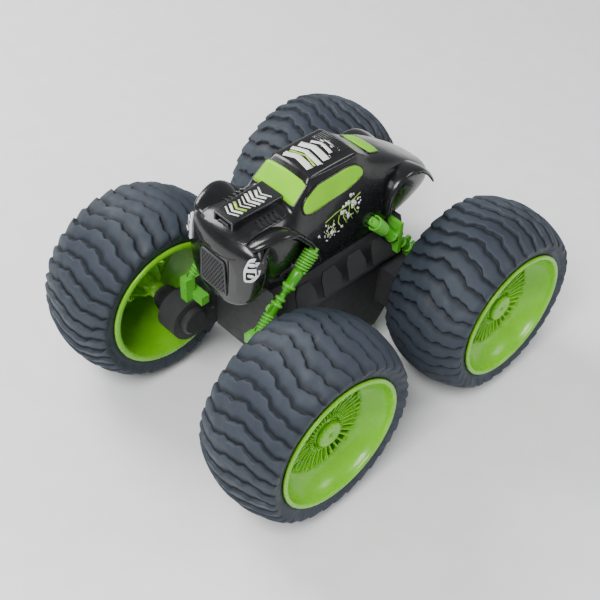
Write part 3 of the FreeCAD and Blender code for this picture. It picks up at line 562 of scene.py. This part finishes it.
def hub_cap(corner, side):
    """Flat round cap with a small hole in its middle."""
    face = DISC + 3.2
    outline = [(face + 3.0, 1.4), (face + 3.2, 1.9), (face + 3.2, 7.4), (face + 2.9, 8.3), (face + 2.2, 8.9),
               (face, 9.2), (face, 1.4), (face + 1.0, 1.0), (face + 1.6, 1.0)]
    piece = lathe("cap_" + corner, [(side * x, r) for x, r in outline], MATERIALS["lime_plastic"], 64)
    fix_normals(piece)
    piece.location = wheel_centre(corner)
    settle(piece)
    return finish_piece(piece, "wheel_" + corner, "lime_plastic", "hub_cap_" + corner)


# ---------------------------------------------------------------- body shell
# Half sections of the hull: place along Y at the middle, how far it bows back towards its sides, then (x, z)
# of the lower edge, sill, side, waist, shoulder, window top, gutter and middle of the roof.
SECTIONS = [
    (-82.6, 0.006, (0, 112), (8, 112.5), (14, 115), (18.5, 124), (18.5, 137), (14, 144.5), (7, 146.6),
     (0, 147.2)),
    (-81.8, 0.0055, (0, 108), (11, 108.8), (20, 113), (25.5, 124), (26.5, 139), (20, 148), (10, 150.8),
     (0, 151.4)),
    (-79.6, 0.005, (0, 106.6), (13, 107.6), (23, 112.5), (29.4, 124), (32.6, 141), (26.5, 151),
     (13.5, 154.6), (0, 155.4)),
    (-76.0, 0.004, (0, 106.2), (13, 107.2), (23.5, 112.5), (30, 124), (34.2, 141), (29, 152.6), (15.5, 157),
     (0, 158)),
    (-70.0, 0.002, (0, 106.6), (12.5, 107.4), (22, 112), (27.6, 123), (31.6, 140), (28, 153), (17, 159),
     (0, 160.4)),
    (-63.0, 0.0, (6, 107.6), (14, 108), (21.4, 112), (25.2, 122), (26.8, 136), (25, 151.5), (17.5, 159.8),
     (0, 161.6)),
    (-54.0, 0.0, (16, 109), (19, 109.6), (23, 113), (25.6, 122), (26, 135), (23.6, 149.5), (18, 159.4),
     (0, 162)),
    (-46.0, 0.0, (23, 111.5), (24.5, 112), (25.6, 118), (26.2, 130), (26, 140), (22.6, 150), (17.8, 159.6),
     (0, 162.6)),
    (-39.0, 0.0, (24.5, 113), (26, 114), (26.6, 122), (26.7, 134), (25, 144), (21.4, 153), (17.8, 160.4),
     (0, 163)),
    (-36.8, 0.0, (24.5, 113), (26, 114), (26.6, 122), (26.6, 136), (23.6, 148), (20.2, 157.4), (18, 161.6),
     (0, 164)),
    (-25.6, 0.0, (24.5, 113), (26, 114), (26.7, 123), (26.2, 137), (22.6, 151), (19.2, 165.5),
     (16.8, 171.8), (0, 174)),
    (-21.5, 0.0, (24.5, 113), (26, 114), (26.8, 123.5), (26.1, 138), (22.3, 151.5), (18.6, 167),
     (15, 175.4), (0, 177)),
    (0.0, 0.0, (24.5, 113), (26, 114), (26.8, 124), (26, 138), (22.2, 151.8), (18.4, 167.5), (15.2, 176),
     (0, 178)),
    (15.5, 0.0, (24.5, 113), (26, 114), (26.7, 124), (25.9, 138), (22.1, 151.8), (18.4, 167), (15.4, 175.4),
     (0, 177.2)),
    (21.5, 0.0, (24.5, 113.5), (26, 114.5), (26.4, 124), (25.6, 138), (21.8, 151.6), (18, 164.8),
     (15.6, 170.4), (0, 171.8)),
    (29.0, 0.0, (24, 114), (25.6, 115), (26, 123.5), (25.2, 136.5), (21.6, 150), (17.8, 161.8), (15, 165.4),
     (0, 166.4)),
    (48.0, 0.0, (22.5, 115), (24, 116), (25, 122), (25, 133), (22.4, 145.6), (18.2, 155.4), (13.8, 158),
     (0, 159)),
    (68.0, 0.0, (19.5, 116.5), (20.8, 117), (22, 121), (22.4, 128), (20.4, 137), (16.6, 143.2), (12, 145.2),
     (0, 146.2)),
    (83.0, 0.0, (16, 118), (17, 118.5), (18.4, 121), (18.8, 125), (17.2, 130), (13.6, 133.2), (9.5, 134.6),
     (0, 135)),
    (87.0, 0.0, (13, 119), (14, 119.6), (15.4, 121.4), (15.8, 124.6), (14.2, 128), (11.2, 130.2),
     (7.5, 131.2), (0, 131.6)),
]
# Creased edges: along the hull by column, first row, row after the last and sharpness, and across it by row.
CREASES = {"gutter": (6, 9, 15, 0.75), "belt": (5, 9, 18, 0.25)}
CREASED_ROWS = {9: 0.7, 10: 0.45, 11: 0.45, 13: 0.6}


def hull():
    """The body's hull: a smooth skin through its half sections, mirrored. It has no wall and is open below."""
    points = []
    for y, bow, *ring in SECTIONS:
        points += [(x, y + bow * x * x, z) for x, z in ring]
    columns = len(SECTIONS[0]) - 2
    faces = grid_faces(len(SECTIONS), columns)
    last = (len(SECTIONS) - 1) * columns
    faces.append(tuple(range(columns)))
    faces.append(tuple(reversed(range(last, last + columns))))
    piece = add_mesh("body_hull", points, faces, MATERIALS["body_gloss"])
    crease = piece.data.attributes.new("crease_edge", "FLOAT", "EDGE")
    for edge in piece.data.edges:
        a, b = sorted(edge.vertices)
        row = a // columns
        if a % columns == b % columns:
            for column, first, end, sharpness in CREASES.values():
                if a % columns == column and first <= row < end:
                    crease.data[edge.index].value = sharpness
        elif a % columns >= 5 and row in CREASED_ROWS:
            crease.data[edge.index].value = CREASED_ROWS[row]
    add_modifier(piece, "MIRROR", use_clip=True, merge_threshold=0.0002)
    add_modifier(piece, "SUBSURF", levels=3, render_levels=3)
    bake_modifiers(piece)
    fix_normals(piece)
    return piece


def skin_of(thing):
    """What rays are cast at to lay pieces on an object's surface."""
    mesh = bmesh.new()
    mesh.from_mesh(thing.data)
    tree = BVHTree.FromBMesh(mesh)
    mesh.free()
    return tree


SIDES = {
    "top": (Vector((0, 0, 0.3)), Vector((0, 0, -1)), lambda u, v: (u, v, None)),
    "left": (Vector((0.3, 0, 0)), Vector((-1, 0, 0)), lambda u, v: (None, u, v)),
    "right": (Vector((-0.3, 0, 0)), Vector((1, 0, 0)), lambda u, v: (None, u, v)),
    "front": (Vector((0, -0.3, 0)), Vector((0, 1, 0)), lambda u, v: (u, None, v)),
}


def land(skin, side, u, v, lift):
    """The place in millimetres where a ray from a side at (u, v) meets the skin, lifted off it."""
    far, direction, where = SIDES[side]
    start = Vector([f if c is None else c * MM for f, c in zip(far, where(u, v))])
    spot, normal, _, _ = skin.ray_cast(start, direction)
    if spot is None:
        return None
    if normal.dot(direction) > 0:
        normal = -normal
    return (spot + normal * lift * MM) / MM


def patch(name, skin, side, outline, lift, material, thickness=0.25, cell=2.0):
    """A thin panel with a flat outline, laid on the skin from one side."""
    mesh = bmesh.new()
    face = mesh.faces.new([mesh.verts.new((u, v, 0)) for u, v in outline])
    face.normal_update()
    for axis in (0, 1):
        low = min(p[axis] for p in outline)
        high = max(p[axis] for p in outline)
        for n in range(1, int((high - low) / cell) + 1):
            normal = Vector((1, 0, 0)) if axis == 0 else Vector((0, 1, 0))
            geometry = mesh.verts[:] + mesh.edges[:] + mesh.faces[:]
            bmesh.ops.bisect_plane(mesh, geom=geometry, plane_co=normal * (low + cell * n), plane_no=normal)
    lost = []
    for vert in mesh.verts:
        spot = land(skin, side, vert.co.x, vert.co.y, lift)
        if spot is None:
            lost.append(vert)
        else:
            vert.co = spot * MM
    bmesh.ops.delete(mesh, geom=lost, context="VERTS")
    bmesh.ops.recalc_face_normals(mesh, faces=mesh.faces)
    outward = -SIDES[side][1]
    if sum(f.normal.dot(outward) for f in mesh.faces) < 0:
        bmesh.ops.reverse_faces(mesh, faces=mesh.faces)
    data = bpy.data.meshes.new(name)
    mesh.to_mesh(data)
    mesh.free()
    data.materials.append(material)
    data.shade_smooth()
    thing = put(name, data)
    add_modifier(thing, "SOLIDIFY", thickness=thickness * MM, offset=1.0)
    return bake_modifiers(thing)


def bead(name, skin, side, outline, lift, radius, material, closed=True):
    """A round bead laid on the skin along an outline."""
    path = [land(skin, side, u, v, lift) for u, v in outline]
    return tube(name, [[tuple(p) for p in path if p is not None]], radius, material, closed)


LEFT_RIGHT = (("left", 1), ("right", -1))
WINDSCREEN = [(-16.6, -25.2, 1.2), (16.6, -25.2, 1.2), (17.7, -36.6, 1.2), (-17.7, -36.6, 1.2)]
SIDE_WINDOW = [
    (-31.9, 160.2), (-29, 164.6), (-24, 167.2), (-18.2, 169.3), (-8.7, 169.5), (5.9, 170), (13.3, 168.8),
    (18.5, 164.3),
    (19.3, 160.4), (16.1, 158.4), (4.5, 155.9), (-10.6, 155.2), (-20.7, 153.9), (-27.5, 154.3), (-31, 156),
]
REAR_WINDOW = [(-12.5, 30.5), (12.5, 30.5), (11, 42), (-11, 42)]
GRILLE = [(-9.8, 141), (9.8, 141), (11.2, 116.5), (-11.2, 116.5)]
LAMP = [(24.6, 150.8), (28.0, 151.2), (30.8, 146.6), (31.0, 141.4), (28.4, 136.2), (23.6, 134.6),
        (23.0, 142.6)]
LAMP_UPPER = [(25.2, 149.2), (27.8, 149.4), (29.2, 146.2), (24.8, 144.8)]
LAMP_LOWER = [(24.4, 142.4), (29.2, 143.6), (29.3, 141.4), (27.2, 137.6), (24.6, 136.8)]
TAIL = [(-77.5, 139.0), (-77.0, 148.0), (-61.5, 151.5), (-60.5, 150.0), (-66.0, 145.5)]


def flipped(outline, side):
    """The outline, mirrored for the right-hand side."""
    return [(side * corner[0],) + tuple(corner[1:]) for corner in outline]


def windows():
    """Lime window panels, each in a dark bead."""
    panes = [patch("windscreen", SKIN, "top", rounded(WINDSCREEN, 1.5), 0.05, MATERIALS["lime_window"], 0.5)]
    frames = [bead("windscreen_bead", SKIN, "top", rounded(WINDSCREEN, 1.5), 0.25, 0.55,
                   MATERIALS["body_gloss"])]
    panes.append(patch("rear_screen", SKIN, "top", rounded(REAR_WINDOW, 2), 0.05, MATERIALS["lime_window"],
                       0.5))
    frames.append(bead("rear_bead", SKIN, "top", rounded(REAR_WINDOW, 2), 0.25, 0.5, MATERIALS["body_gloss"]))
    for side, _ in LEFT_RIGHT:
        outline = rounded(SIDE_WINDOW, 3, 7)
        panes.append(patch("window_" + side, SKIN, side, outline, 0.05, MATERIALS["lime_window"], 0.5))
        frames.append(bead("window_bead_" + side, SKIN, side, outline, 0.3, 0.6, MATERIALS["body_gloss"]))
    finish_piece(join("window_panes", panes), "chassis", "lime_window", "window_insert")
    finish_piece(join("window_beads", frames), "chassis", "body_gloss")


def fender_sheet(name, side, path, section, wall, narrow):
    """A fender: a cross-section swept along a side-view path, narrower at its start, with a wall."""
    points = []
    places = [Vector(p) for p in path]
    for i, place in enumerate(places):
        before = places[max(i - 1, 0)]
        after = places[min(i + 1, len(places) - 1)]
        along = (after - before).normalized()
        normal = Vector((-along.y, along.x))
        if normal.y < 0 and abs(along.x) > 0.2:
            normal = -normal
        spread = 1 - narrow * max(0.0, 1 - i / 4)
        for x, rise in section:
            spot = place + normal * rise * spread
            points.append((side * mix(section[0][0], x, spread), spot.x, spot.y))
    sheet = add_mesh(name, points, grid_faces(len(path), len(section)), MATERIALS["body_gloss"])
    add_modifier(sheet, "SOLIDIFY", thickness=wall * MM, offset=0)
    add_modifier(sheet, "SUBSURF", levels=2, render_levels=2)
    bake_modifiers(sheet)
    fix_normals(sheet)
    return sheet


FRONT_PATH = [
    (-74.8, 155.4), (-73.2, 157.0), (-69.4, 158.9), (-63, 160.5), (-56, 161), (-49.4, 159.6), (-44.4, 155.6),
    (-39.8, 150.2), (-35, 144.8), (-31, 139.4), (-27.6, 133.4), (-25.4, 127),
]
FRONT_SECTION = [(17, -4.6), (20.6, -2.6), (24.6, -0.9), (28.4, 0.2), (31.2, 0), (32.8, -0.9), (33.4, -2.8)]
REAR_PATH = [(36, 121), (35.4, 130), (37.4, 138.6), (43, 145.4), (51, 148.8), (60, 148.2), (68, 144),
             (75, 137), (80, 129)]
REAR_SECTION = [(13, -1.5), (18, -0.6), (23, 0.2), (27, 0), (28.8, -0.9), (29.4, -2.6)]


def strip(name, skin, side, outline, lift, thickness, material, width=0.5):
    """A patch with softened edges."""
    made = patch(name, skin, side, outline, lift, material, thickness)
    soften(made, width * thickness, 2, 40)
    return bake_modifiers(made)


def hood():
    """Raised hood panel with a lip, louvres at both sides, and the nose's panel lines."""
    gloss = MATERIALS["body_gloss"]
    panel = [(-19.5, -73.6, 3), (-13, -77, 5), (0, -78.8, 9), (13, -77, 5), (19.5, -73.6, 3), (17.6, -60, 6),
             (17, -40.4, 2), (-17, -40.4, 2), (-17.6, -60, 6)]
    parts = [strip("hood_panel", SKIN, "top", rounded(panel, 3, 7), -0.1, 1.0, gloss)]
    for side, sign in LEFT_RIGHT:
        for n in range(5):
            y = -60.5 + 3.3 * n
            fin = [(11.4, y), (17.2, y + 0.9), (17.2, y + 2.2), (11.4, y + 1.6)]
            parts.append(strip("louvre%d_%s" % (n, side), SKIN, "top", flipped(fin, sign), 0.8, 0.9, gloss))
    lines = []
    for sign in (1, -1):
        crease = [(12.6, 144.5), (12.4, 136), (12.0, 126), (11.2, 116), (9.8, 107), (7.6, 101.5)]
        lines.append([tuple(p) for p in (land(SKIN, "front", sign * x, z, 0.02) for x, z in crease) if p])
    lip = [(-17, 147.0), (-12, 145.4), (-6, 144.6), (0, 144.4), (6, 144.6), (12, 145.4), (17, 147.0)]
    lines.append([tuple(p) for p in (land(SKIN, "front", x, z, 0.0) for x, z in lip) if p])
    grooves = tube("nose_grooves", lines, 0.38, MATERIALS["hollow_black"], closed=False)
    finish_piece(grooves, "chassis", "body_gloss")
    finish_piece(join("hood_panel", parts), "chassis", "body_gloss")


def grille():
    """Framed grille with a diagonal mesh."""
    outline = rounded(GRILLE, 2.6, 6)
    back = patch("grille_back", SKIN, "front", outline, 0.02, MATERIALS["hollow_black"], 0.2, 1.5)
    frame_bar = bead("grille_frame", SKIN, "front", rounded(GRILLE, 2.6, 6), 0.5, 0.75,
                     MATERIALS["grille_mesh"])
    wires = []
    for slope in (1, -1):
        for n in range(-16, 17):
            path = []
            for step in range(41):
                z = mix(117.2, 140.4, step / 40)
                x = slope * (z - 128.8) * 0.6 + n * 2.3
                half = mix(10.7, 9.3, (z - 116.5) / 24.5)
                if abs(x) < half:
                    spot = land(SKIN, "front", x, z, 0.42)
                    if spot:
                        path.append(tuple(spot))
            if len(path) > 1:
                wires.append(path)
    mesh = tube("grille_wires", wires, 0.34, MATERIALS["grille_mesh"], closed=False, resolution=1)
    for thing in (back, frame_bar):
        finish_piece(thing, "chassis", "grille_mesh")
    finish_piece(mesh, "chassis", "grille_mesh", "grille")


def headlamps():
    """White lamp bezels with two dark openings, bright reflectors and a ribbed tail along the side."""
    white = []
    dark = []
    for side, sign in LEFT_RIGHT:
        outline = rounded(flipped(LAMP, sign), 1.8, 5)
        white.append(strip("lamp_" + side, SKIN, "front", outline, -0.1, 1.3, MATERIALS["lamp_silver"], 0.4))
        for n, opening in enumerate((LAMP_UPPER, LAMP_LOWER)):
            shape = rounded(flipped(opening, sign), 1.0, 4)
            dark.append(patch("lamp_hole%d_%s" % (n, side), SKIN, "front", shape, 1.2,
                              MATERIALS["hollow_black"], 0.12))
            middle_x = sum(p[0] for p in opening) / len(opening) + (0.4 if n else 0)
            middle_z = sum(p[1] for p in opening) / len(opening) + 0.3
            lens = [(sign * (middle_x + 1.9 * math.cos(a * math.pi / 8)),
                     middle_z + 1.0 * math.sin(a * math.pi / 8))
                    for a in range(16)]
            white.append(patch("lamp_lens%d_%s" % (n, side), SKIN, "front", lens, 1.2,
                               MATERIALS["lamp_silver"], 0.6))
        tail = patch("lamp_tail_" + side, SKIN, side, rounded(TAIL, 0.8, 3), 0.0, MATERIALS["grille_mesh"],
                     0.9)
        white.append(tail)
        for n in range(4):
            y = -75.0 + 2.9 * n
            rib = [(y, mix(142.4, 146.6, n / 4)), (y + 0.7, mix(142.4, 146.6, n / 4)),
                   (y + 1.0, mix(147.0, 149.4, n / 4)), (y + 0.3, mix(147.0, 149.4, n / 4))]
            white.append(patch("lamp_rib%d_%s" % (n, side), SKIN, side, rib, 0.9, MATERIALS["grille_mesh"],
                               0.4))
    finish_piece(join("lamp_bezels", white), "chassis", "lamp_silver", "headlamps")
    finish_piece(join("lamp_openings", dark), "chassis", "lamp_silver")


def scoop():
    """Hood scoop: an open duct with a framed mouth, closed behind."""
    gloss = MATERIALS["body_gloss"]
    rows = []
    for y, half, top in ((-73.6, 8.2, 165.0), (-66.0, 8.5, 165.3), (-50.0, 9.0, 165.8), (-37.0, 9.5, 166.2)):
        edge = rounded([(-half, 152), (-half, top, 1.4), (half, top, 1.4), (half, 152)], 1.4, 5)
        rows.append([(x, y, z) for x, z in edge])
    columns = len(rows[0])
    points = [p for row in rows for p in row]
    faces = grid_faces(len(rows), columns, False, True)
    faces.append(tuple(range((len(rows) - 1) * columns, len(rows) * columns)))
    duct = add_mesh("scoop_duct", points, faces, gloss, smooth=False)
    fix_normals(duct)
    add_modifier(duct, "SOLIDIFY", thickness=1.2 * MM, offset=-1)
    soften(duct, 0.5, 3, 30)
    bake_modifiers(duct)
    duct.data.shade_smooth()
    lip = rounded([(-7.5, 164.0, 1), (7.5, 164.0, 1), (7.5, 155.6, 1), (4.4, 157.4, 0.8), (3.4, 160.6, 0.8),
                   (-3.4, 160.6, 0.8), (-4.4, 157.4, 0.8), (-7.5, 155.6, 1)], 1, 4)
    mouth = tube("scoop_lip", [[(x, -73.9, z) for x, z in lip]], 0.75, MATERIALS["grille_mesh"])
    bridge = add_mesh("scoop_bridge", [(x, y, z) for y in (-73.2, -70) for x, z in (
        (-7.4, 152), (-7.4, 155.6), (-4.4, 157.4), (-3.4, 160.4), (3.4, 160.4), (4.4, 157.4), (7.4, 155.6),
        (7.4, 152))],
        [tuple(range(8)), tuple(reversed(range(8, 16)))] + grid_faces(2, 8, False, True), gloss, smooth=False)
    fix_normals(bridge)
    soften(bridge, 0.4)
    bake_modifiers(bridge)
    inside = add_mesh("scoop_dark", [(-8, -65, 152), (8, -65, 152), (8, -65, 165), (-8, -65, 165)],
                      [(0, 1, 2, 3)],
                      MATERIALS["hollow_black"], smooth=False)
    finish_piece(join("scoop_box", [duct, bridge, mouth, inside]), "chassis", "body_gloss", "hood_scoop")


# Thickness of a print, and the roof's bars: half length, place along Y and width.
INK = 0.06
ROOF_BARS = [(10.5, -16.5, 4.6), (11.5, -9.6, 3.4), (11, -3.6, 4.8), (8, 2.8, 2.6), (5, 7.4, 2)]


def splat(dice, u, v, size):
    """An irregular blot."""
    count = dice.randint(7, 11)
    blot = []
    for n in range(count):
        reach = size * dice.uniform(0.45, 1.15)
        angle = 2 * math.pi * n / count
        blot.append((u + reach * math.cos(angle), v + reach * math.sin(angle)))
    return blot


def stroke(path, width):
    """A straight-sided band along a path."""
    left = []
    right = []
    for i, (u, v) in enumerate(path):
        before = Vector(path[max(i - 1, 0)])
        after = Vector(path[min(i + 1, len(path) - 1)])
        along = (after - before).normalized()
        across = Vector((-along.y, along.x)) * width / 2
        left.append((u + across.x, v + across.y))
        right.append((u - across.x, v - across.y))
    return left + right[::-1]


def ink(name, skin, side, outline, lift, colour, cell=3.0):
    """A print: a very thin patch."""
    return patch(name, skin, side, outline, lift, MATERIALS["print_" + colour], INK, cell)


def door_prints(side, dice):
    """White blots at both ends of a door, and lime hatching under a lime line."""
    white = []
    for n in range(84):
        if n % 5 < 3:
            u = dice.gauss(7, 5.2)
            v = dice.gauss(144.5 + 0.3 * (u - 8), 3.6)
        else:
            u = dice.gauss(-14, 4.0)
            v = dice.gauss(135.5, 2.8)
        size = dice.choice((0.35, 0.5, 0.7, 1.0, 1.5))
        blot = splat(dice, min(19, max(-22, u)), min(151, max(126, v)), size)
        white.append(ink("blot%d_%s" % (n, side), SKIN, side, blot, 0.02, "white"))
    lime = []
    for n in range(6):
        u = -15 + 4.6 * n
        low = 131.5 + 1.1 * n
        line = stroke([(u + 2.6, low), (u, low + 5.5), (u + 1.4, low + 9.5)], 0.6)
        lime.append(ink("door_hatch%d_%s" % (n, side), SKIN, side, line, 0.03, "lime"))
    line = stroke([(-16, 143.5), (-6, 145.8), (4, 146.6), (15, 149.6)], 0.6)
    lime.append(ink("door_line_" + side, SKIN, side, line, 0.03, "lime"))
    return white, lime


def prints():
    """Abstract prints: blots and hatching on the doors, bars on the roof and chevrons on the scoop."""
    white = []
    lime = []
    dice = random.Random(11)
    for side, _ in LEFT_RIGHT:
        more_white, more_lime = door_prints(side, dice)
        white += more_white
        lime += more_lime
    for n, (reach, y, width) in enumerate(ROOF_BARS):
        bar = stroke([(-reach, y - 1.6), (-0.2 * reach, y + 1.4), (reach, y - 0.6)], width)
        white.append(ink("roof_shape%d" % n, SKIN, "top", bar, 0.02, "white", 2.0))
    band = stroke([(-10, -14), (1, -11), (10.5, -13.4)], 1.5)
    lime.append(ink("roof_band", SKIN, "top", band, 0.03, "lime", 2.0))
    for n in range(14):
        blot = splat(dice, dice.uniform(-12, 12), dice.uniform(-19, 9), dice.choice((0.3, 0.45, 0.7)))
        white.append(ink("roof_blot%d" % n, SKIN, "top", blot, 0.025, "white"))
    duct = skin_of(bpy.data.objects["scoop_box"])
    for n in range(9):
        y = -69.0 + 3.1 * n
        reach = dice.uniform(4.6, 6.6)
        chevron = stroke([(-reach, y + 1.6), (0.0, y - 1.2), (reach, y + 1.6)], dice.uniform(0.9, 1.9))
        made, colour = (lime, "lime") if n == 2 else (white, "white")
        made.append(ink("scoop_chevron%d" % n, duct, "top", chevron, 0.02, colour))
    finish_piece(join("white_prints", white), "chassis", "body_gloss")
    finish_piece(join("lime_prints", lime), "chassis", "lime_window")


def roof_trim():
    """Gutters beside the roof and ribs across its rear."""
    gloss = MATERIALS["body_gloss"]
    gutters = []
    for sign in (1, -1):
        line = [(15.3, -22.5), (15.9, -12), (16.2, 0), (16.3, 10), (16.2, 15)]
        gutters.append([tuple(p) for p in (land(SKIN, "top", sign * x, y, 0.1) for x, y in line) if p])
    ribs = []
    for n in range(6):
        y = 5.4 + 1.7 * n
        ribs.append([tuple(p) for p in (land(SKIN, "top", x, y, 0.0) for x in (-11, -6, -2, 2, 6, 11)) if p])
    parts = [tube("gutters", gutters, 0.6, gloss, closed=False),
             tube("roof_ribs", ribs, 0.42, gloss, closed=False)]
    finish_piece(join("roof_trim", parts), "chassis", "body_gloss")


def body_pieces(piece):
    """Everything on the body, then the body itself."""
    windows()
    hood()
    grille()
    headlamps()
    scoop()
    roof_trim()
    prints()
    sheets = []
    for side, sign in LEFT_RIGHT:
        sheets.append(fender_sheet("front_fender_" + side, sign, FRONT_PATH, FRONT_SECTION, 1.4, 0.5))
        sheets.append(fender_sheet("rear_fender_" + side, sign, REAR_PATH, REAR_SECTION, 1.4, 0.0))
    finish_piece(join("fenders", sheets), "chassis", "body_gloss")
    finish_piece(piece, "chassis", "body_gloss", "body_shell")


# ---------------------------------------------------------------- shock absorbers
FRONT_SHOCK = (Vector((31.5, -33, 136)), Vector((31.5, -76.5, 95.5)))
REAR_SHOCK = (Vector((28, 24, 124)), Vector((33.6, 61, 82.4)))


def helix(start, turns, pitch, first, last, steps=22):
    """A coil along X whose radius goes from first to last."""
    path = []
    for step in range(int(turns * steps) + 1):
        angle = 2 * math.pi * step / steps
        radius = mix(first, last, step / (turns * steps))
        path.append((start + pitch * step / steps, radius * math.cos(angle), radius * math.sin(angle)))
    return path


def shock(name, side, top, bottom):
    """A moulded shock absorber: coils at both ends, collars, a slim rod and a finned foot."""
    green = MATERIALS["shock_plastic"]
    length = (bottom - top).length
    profile = [(-3, 0.3), (-3, 2.8), (14, 2.8), (14.4, 3.4), (15.2, 3.6), (23.6, 3.4), (24, 4.3),
               (25.6, 4.4), (26, 3.3),
               (28, 3.2), (28.4, 1.9), (32.6, 1.9), (33, 3.3), (34.4, 3.5), (34.8, 2.5), (36.6, 2.5),
               (37, 3.8),
               (38.4, 4.0), (38.8, 3.0), (46, 2.8), (length - 2, 2.0), (length, 1.7), (length, 0.3)]
    parts = [lathe(name + "_core", profile, green, 48)]
    coils = [helix(0.4, 7.0, 1.85, 4.5, 3.7), helix(45.4, 4.5, 2.1, 3.1, 2.4)]
    parts.append(tube(name + "_coils", coils, 0.72, green, closed=False))
    flat = [(38.6, 3.4), (39.4, 6.6), (41.6, 7.2), (43.6, 6.2), (45, 3.0)]
    points = [(x, -0.9, r) for x, r in flat] + [(x, 0.9, r) for x, r in flat]
    size = len(flat)
    faces = [tuple(range(size)), tuple(reversed(range(size, 2 * size)))]
    faces += [(i, i + size, (i + 1) % size + size, (i + 1) % size) for i in range(size)]
    fin = add_mesh(name + "_fin", points, faces, green, smooth=False)
    fix_normals(fin)
    soften(fin, 0.4)
    parts.append(bake_modifiers(fin))
    piece = join(name, parts)
    fix_normals(piece)
    along = (bottom - top).normalized()
    across = Vector((0, 0, 1)).cross(along).normalized()
    turn = Matrix((along, across, along.cross(across))).transposed().to_4x4()
    piece.data.transform(Matrix.Translation(top * MM) @ turn)
    if side < 0:
        piece.data.transform(Matrix.Scale(-1, 4, Vector((1, 0, 0))))
        piece.data.flip_normals()
    return piece


def shocks():
    """The four shock absorbers."""
    for place, (top, bottom) in (("front", FRONT_SHOCK), ("rear", REAR_SHOCK)):
        for side, sign in LEFT_RIGHT:
            name = "shock_%s_%s" % (place, side)
            piece = shock(name, sign, top, bottom)
            finish_piece(piece, "chassis", "shock_plastic", "shock_absorber_%s_%s" % (place, side))


def kept_nodes():
    """Softens the edges of the CAD pieces that are kept as they are."""
    for node, thing in frame["nodes"].items():
        if node.startswith(("gearbox", "chassis", "shock_brackets", "axle_end", "battery_door")):
            soften(thing, 0.5, 3, 30)
            add_modifier(thing, "WEIGHTED_NORMAL", keep_sharp=False)


# ---------------------------------------------------------------- lights, floor and camera
def studio():
    """Pale floor, soft lights and the camera."""
    floor = add_mesh("floor", [(-4000, -4000, 0), (4000, -4000, 0), (4000, 4000, 0), (-4000, 4000, 0)],
                     [(0, 1, 2, 3)],
                     plastic("floor", (0.88, 0.88, 0.88), (0.92, 0.92, 0.92), 0.6, 0.01))
    world = bpy.data.worlds.new("studio")
    bpy.context.scene.world = world
    world.use_nodes = True
    world.node_tree.nodes["Background"].inputs["Color"].default_value = (0.95, 0.97, 1.0, 1.0)
    world.node_tree.nodes["Background"].inputs["Strength"].default_value = 0.4
    for name, place, size, power in (
        ("key", (0.35, -0.8, 1.2), 0.6, 22.0),
        ("back", (-1.05, -0.15, 1.0), 0.7, 20.0),
        ("side", (0.9, 0.75, 0.9), 0.5, 5.0),
    ):
        light = bpy.data.lights.new(name, "AREA")
        light.energy = power
        light.size = size
        lamp = put(name, light)
        lamp.location = place
        lamp.rotation_euler = (Vector((0, 0, 0.08)) - Vector(place)).to_track_quat("-Z", "Y").to_euler()
    azimuth, elevation, roll = (math.radians(a) for a in (44.55, 44.31, 2.88))
    back = Vector((math.sin(azimuth) * math.cos(elevation), -math.cos(azimuth) * math.cos(elevation),
                   math.sin(elevation)))
    right = Vector((math.cos(azimuth), math.sin(azimuth), 0))
    up = back.cross(right)
    tilted_right = right * math.cos(roll) + up * math.sin(roll)
    tilted_up = up * math.cos(roll) - right * math.sin(roll)
    data = bpy.data.cameras.new("camera")
    data.sensor_width = 36.0
    data.lens = 64.2
    camera = put("camera", data)
    turn = Matrix((tilted_right, tilted_up, back)).transposed().to_4x4()
    camera.matrix_world = Matrix.Translation((0.35576, -0.37072, 0.55249)) @ turn
    bpy.context.scene.camera = camera


studio()
for node, thing in frame["nodes"].items():
    for entry in frame["record"]["subparts"]:
        if entry["node"] == node:
            thing.data.materials.clear()
            thing.data.materials.append(MATERIALS[entry["material_slot"]])
for corner, side, end in CORNERS:
    tyre(corner, side, end)
    rim(corner, side)
    hub_cap(corner, side)
body = hull()
SKIN = skin_of(body)
body_pieces(body)
shocks()
kept_nodes()
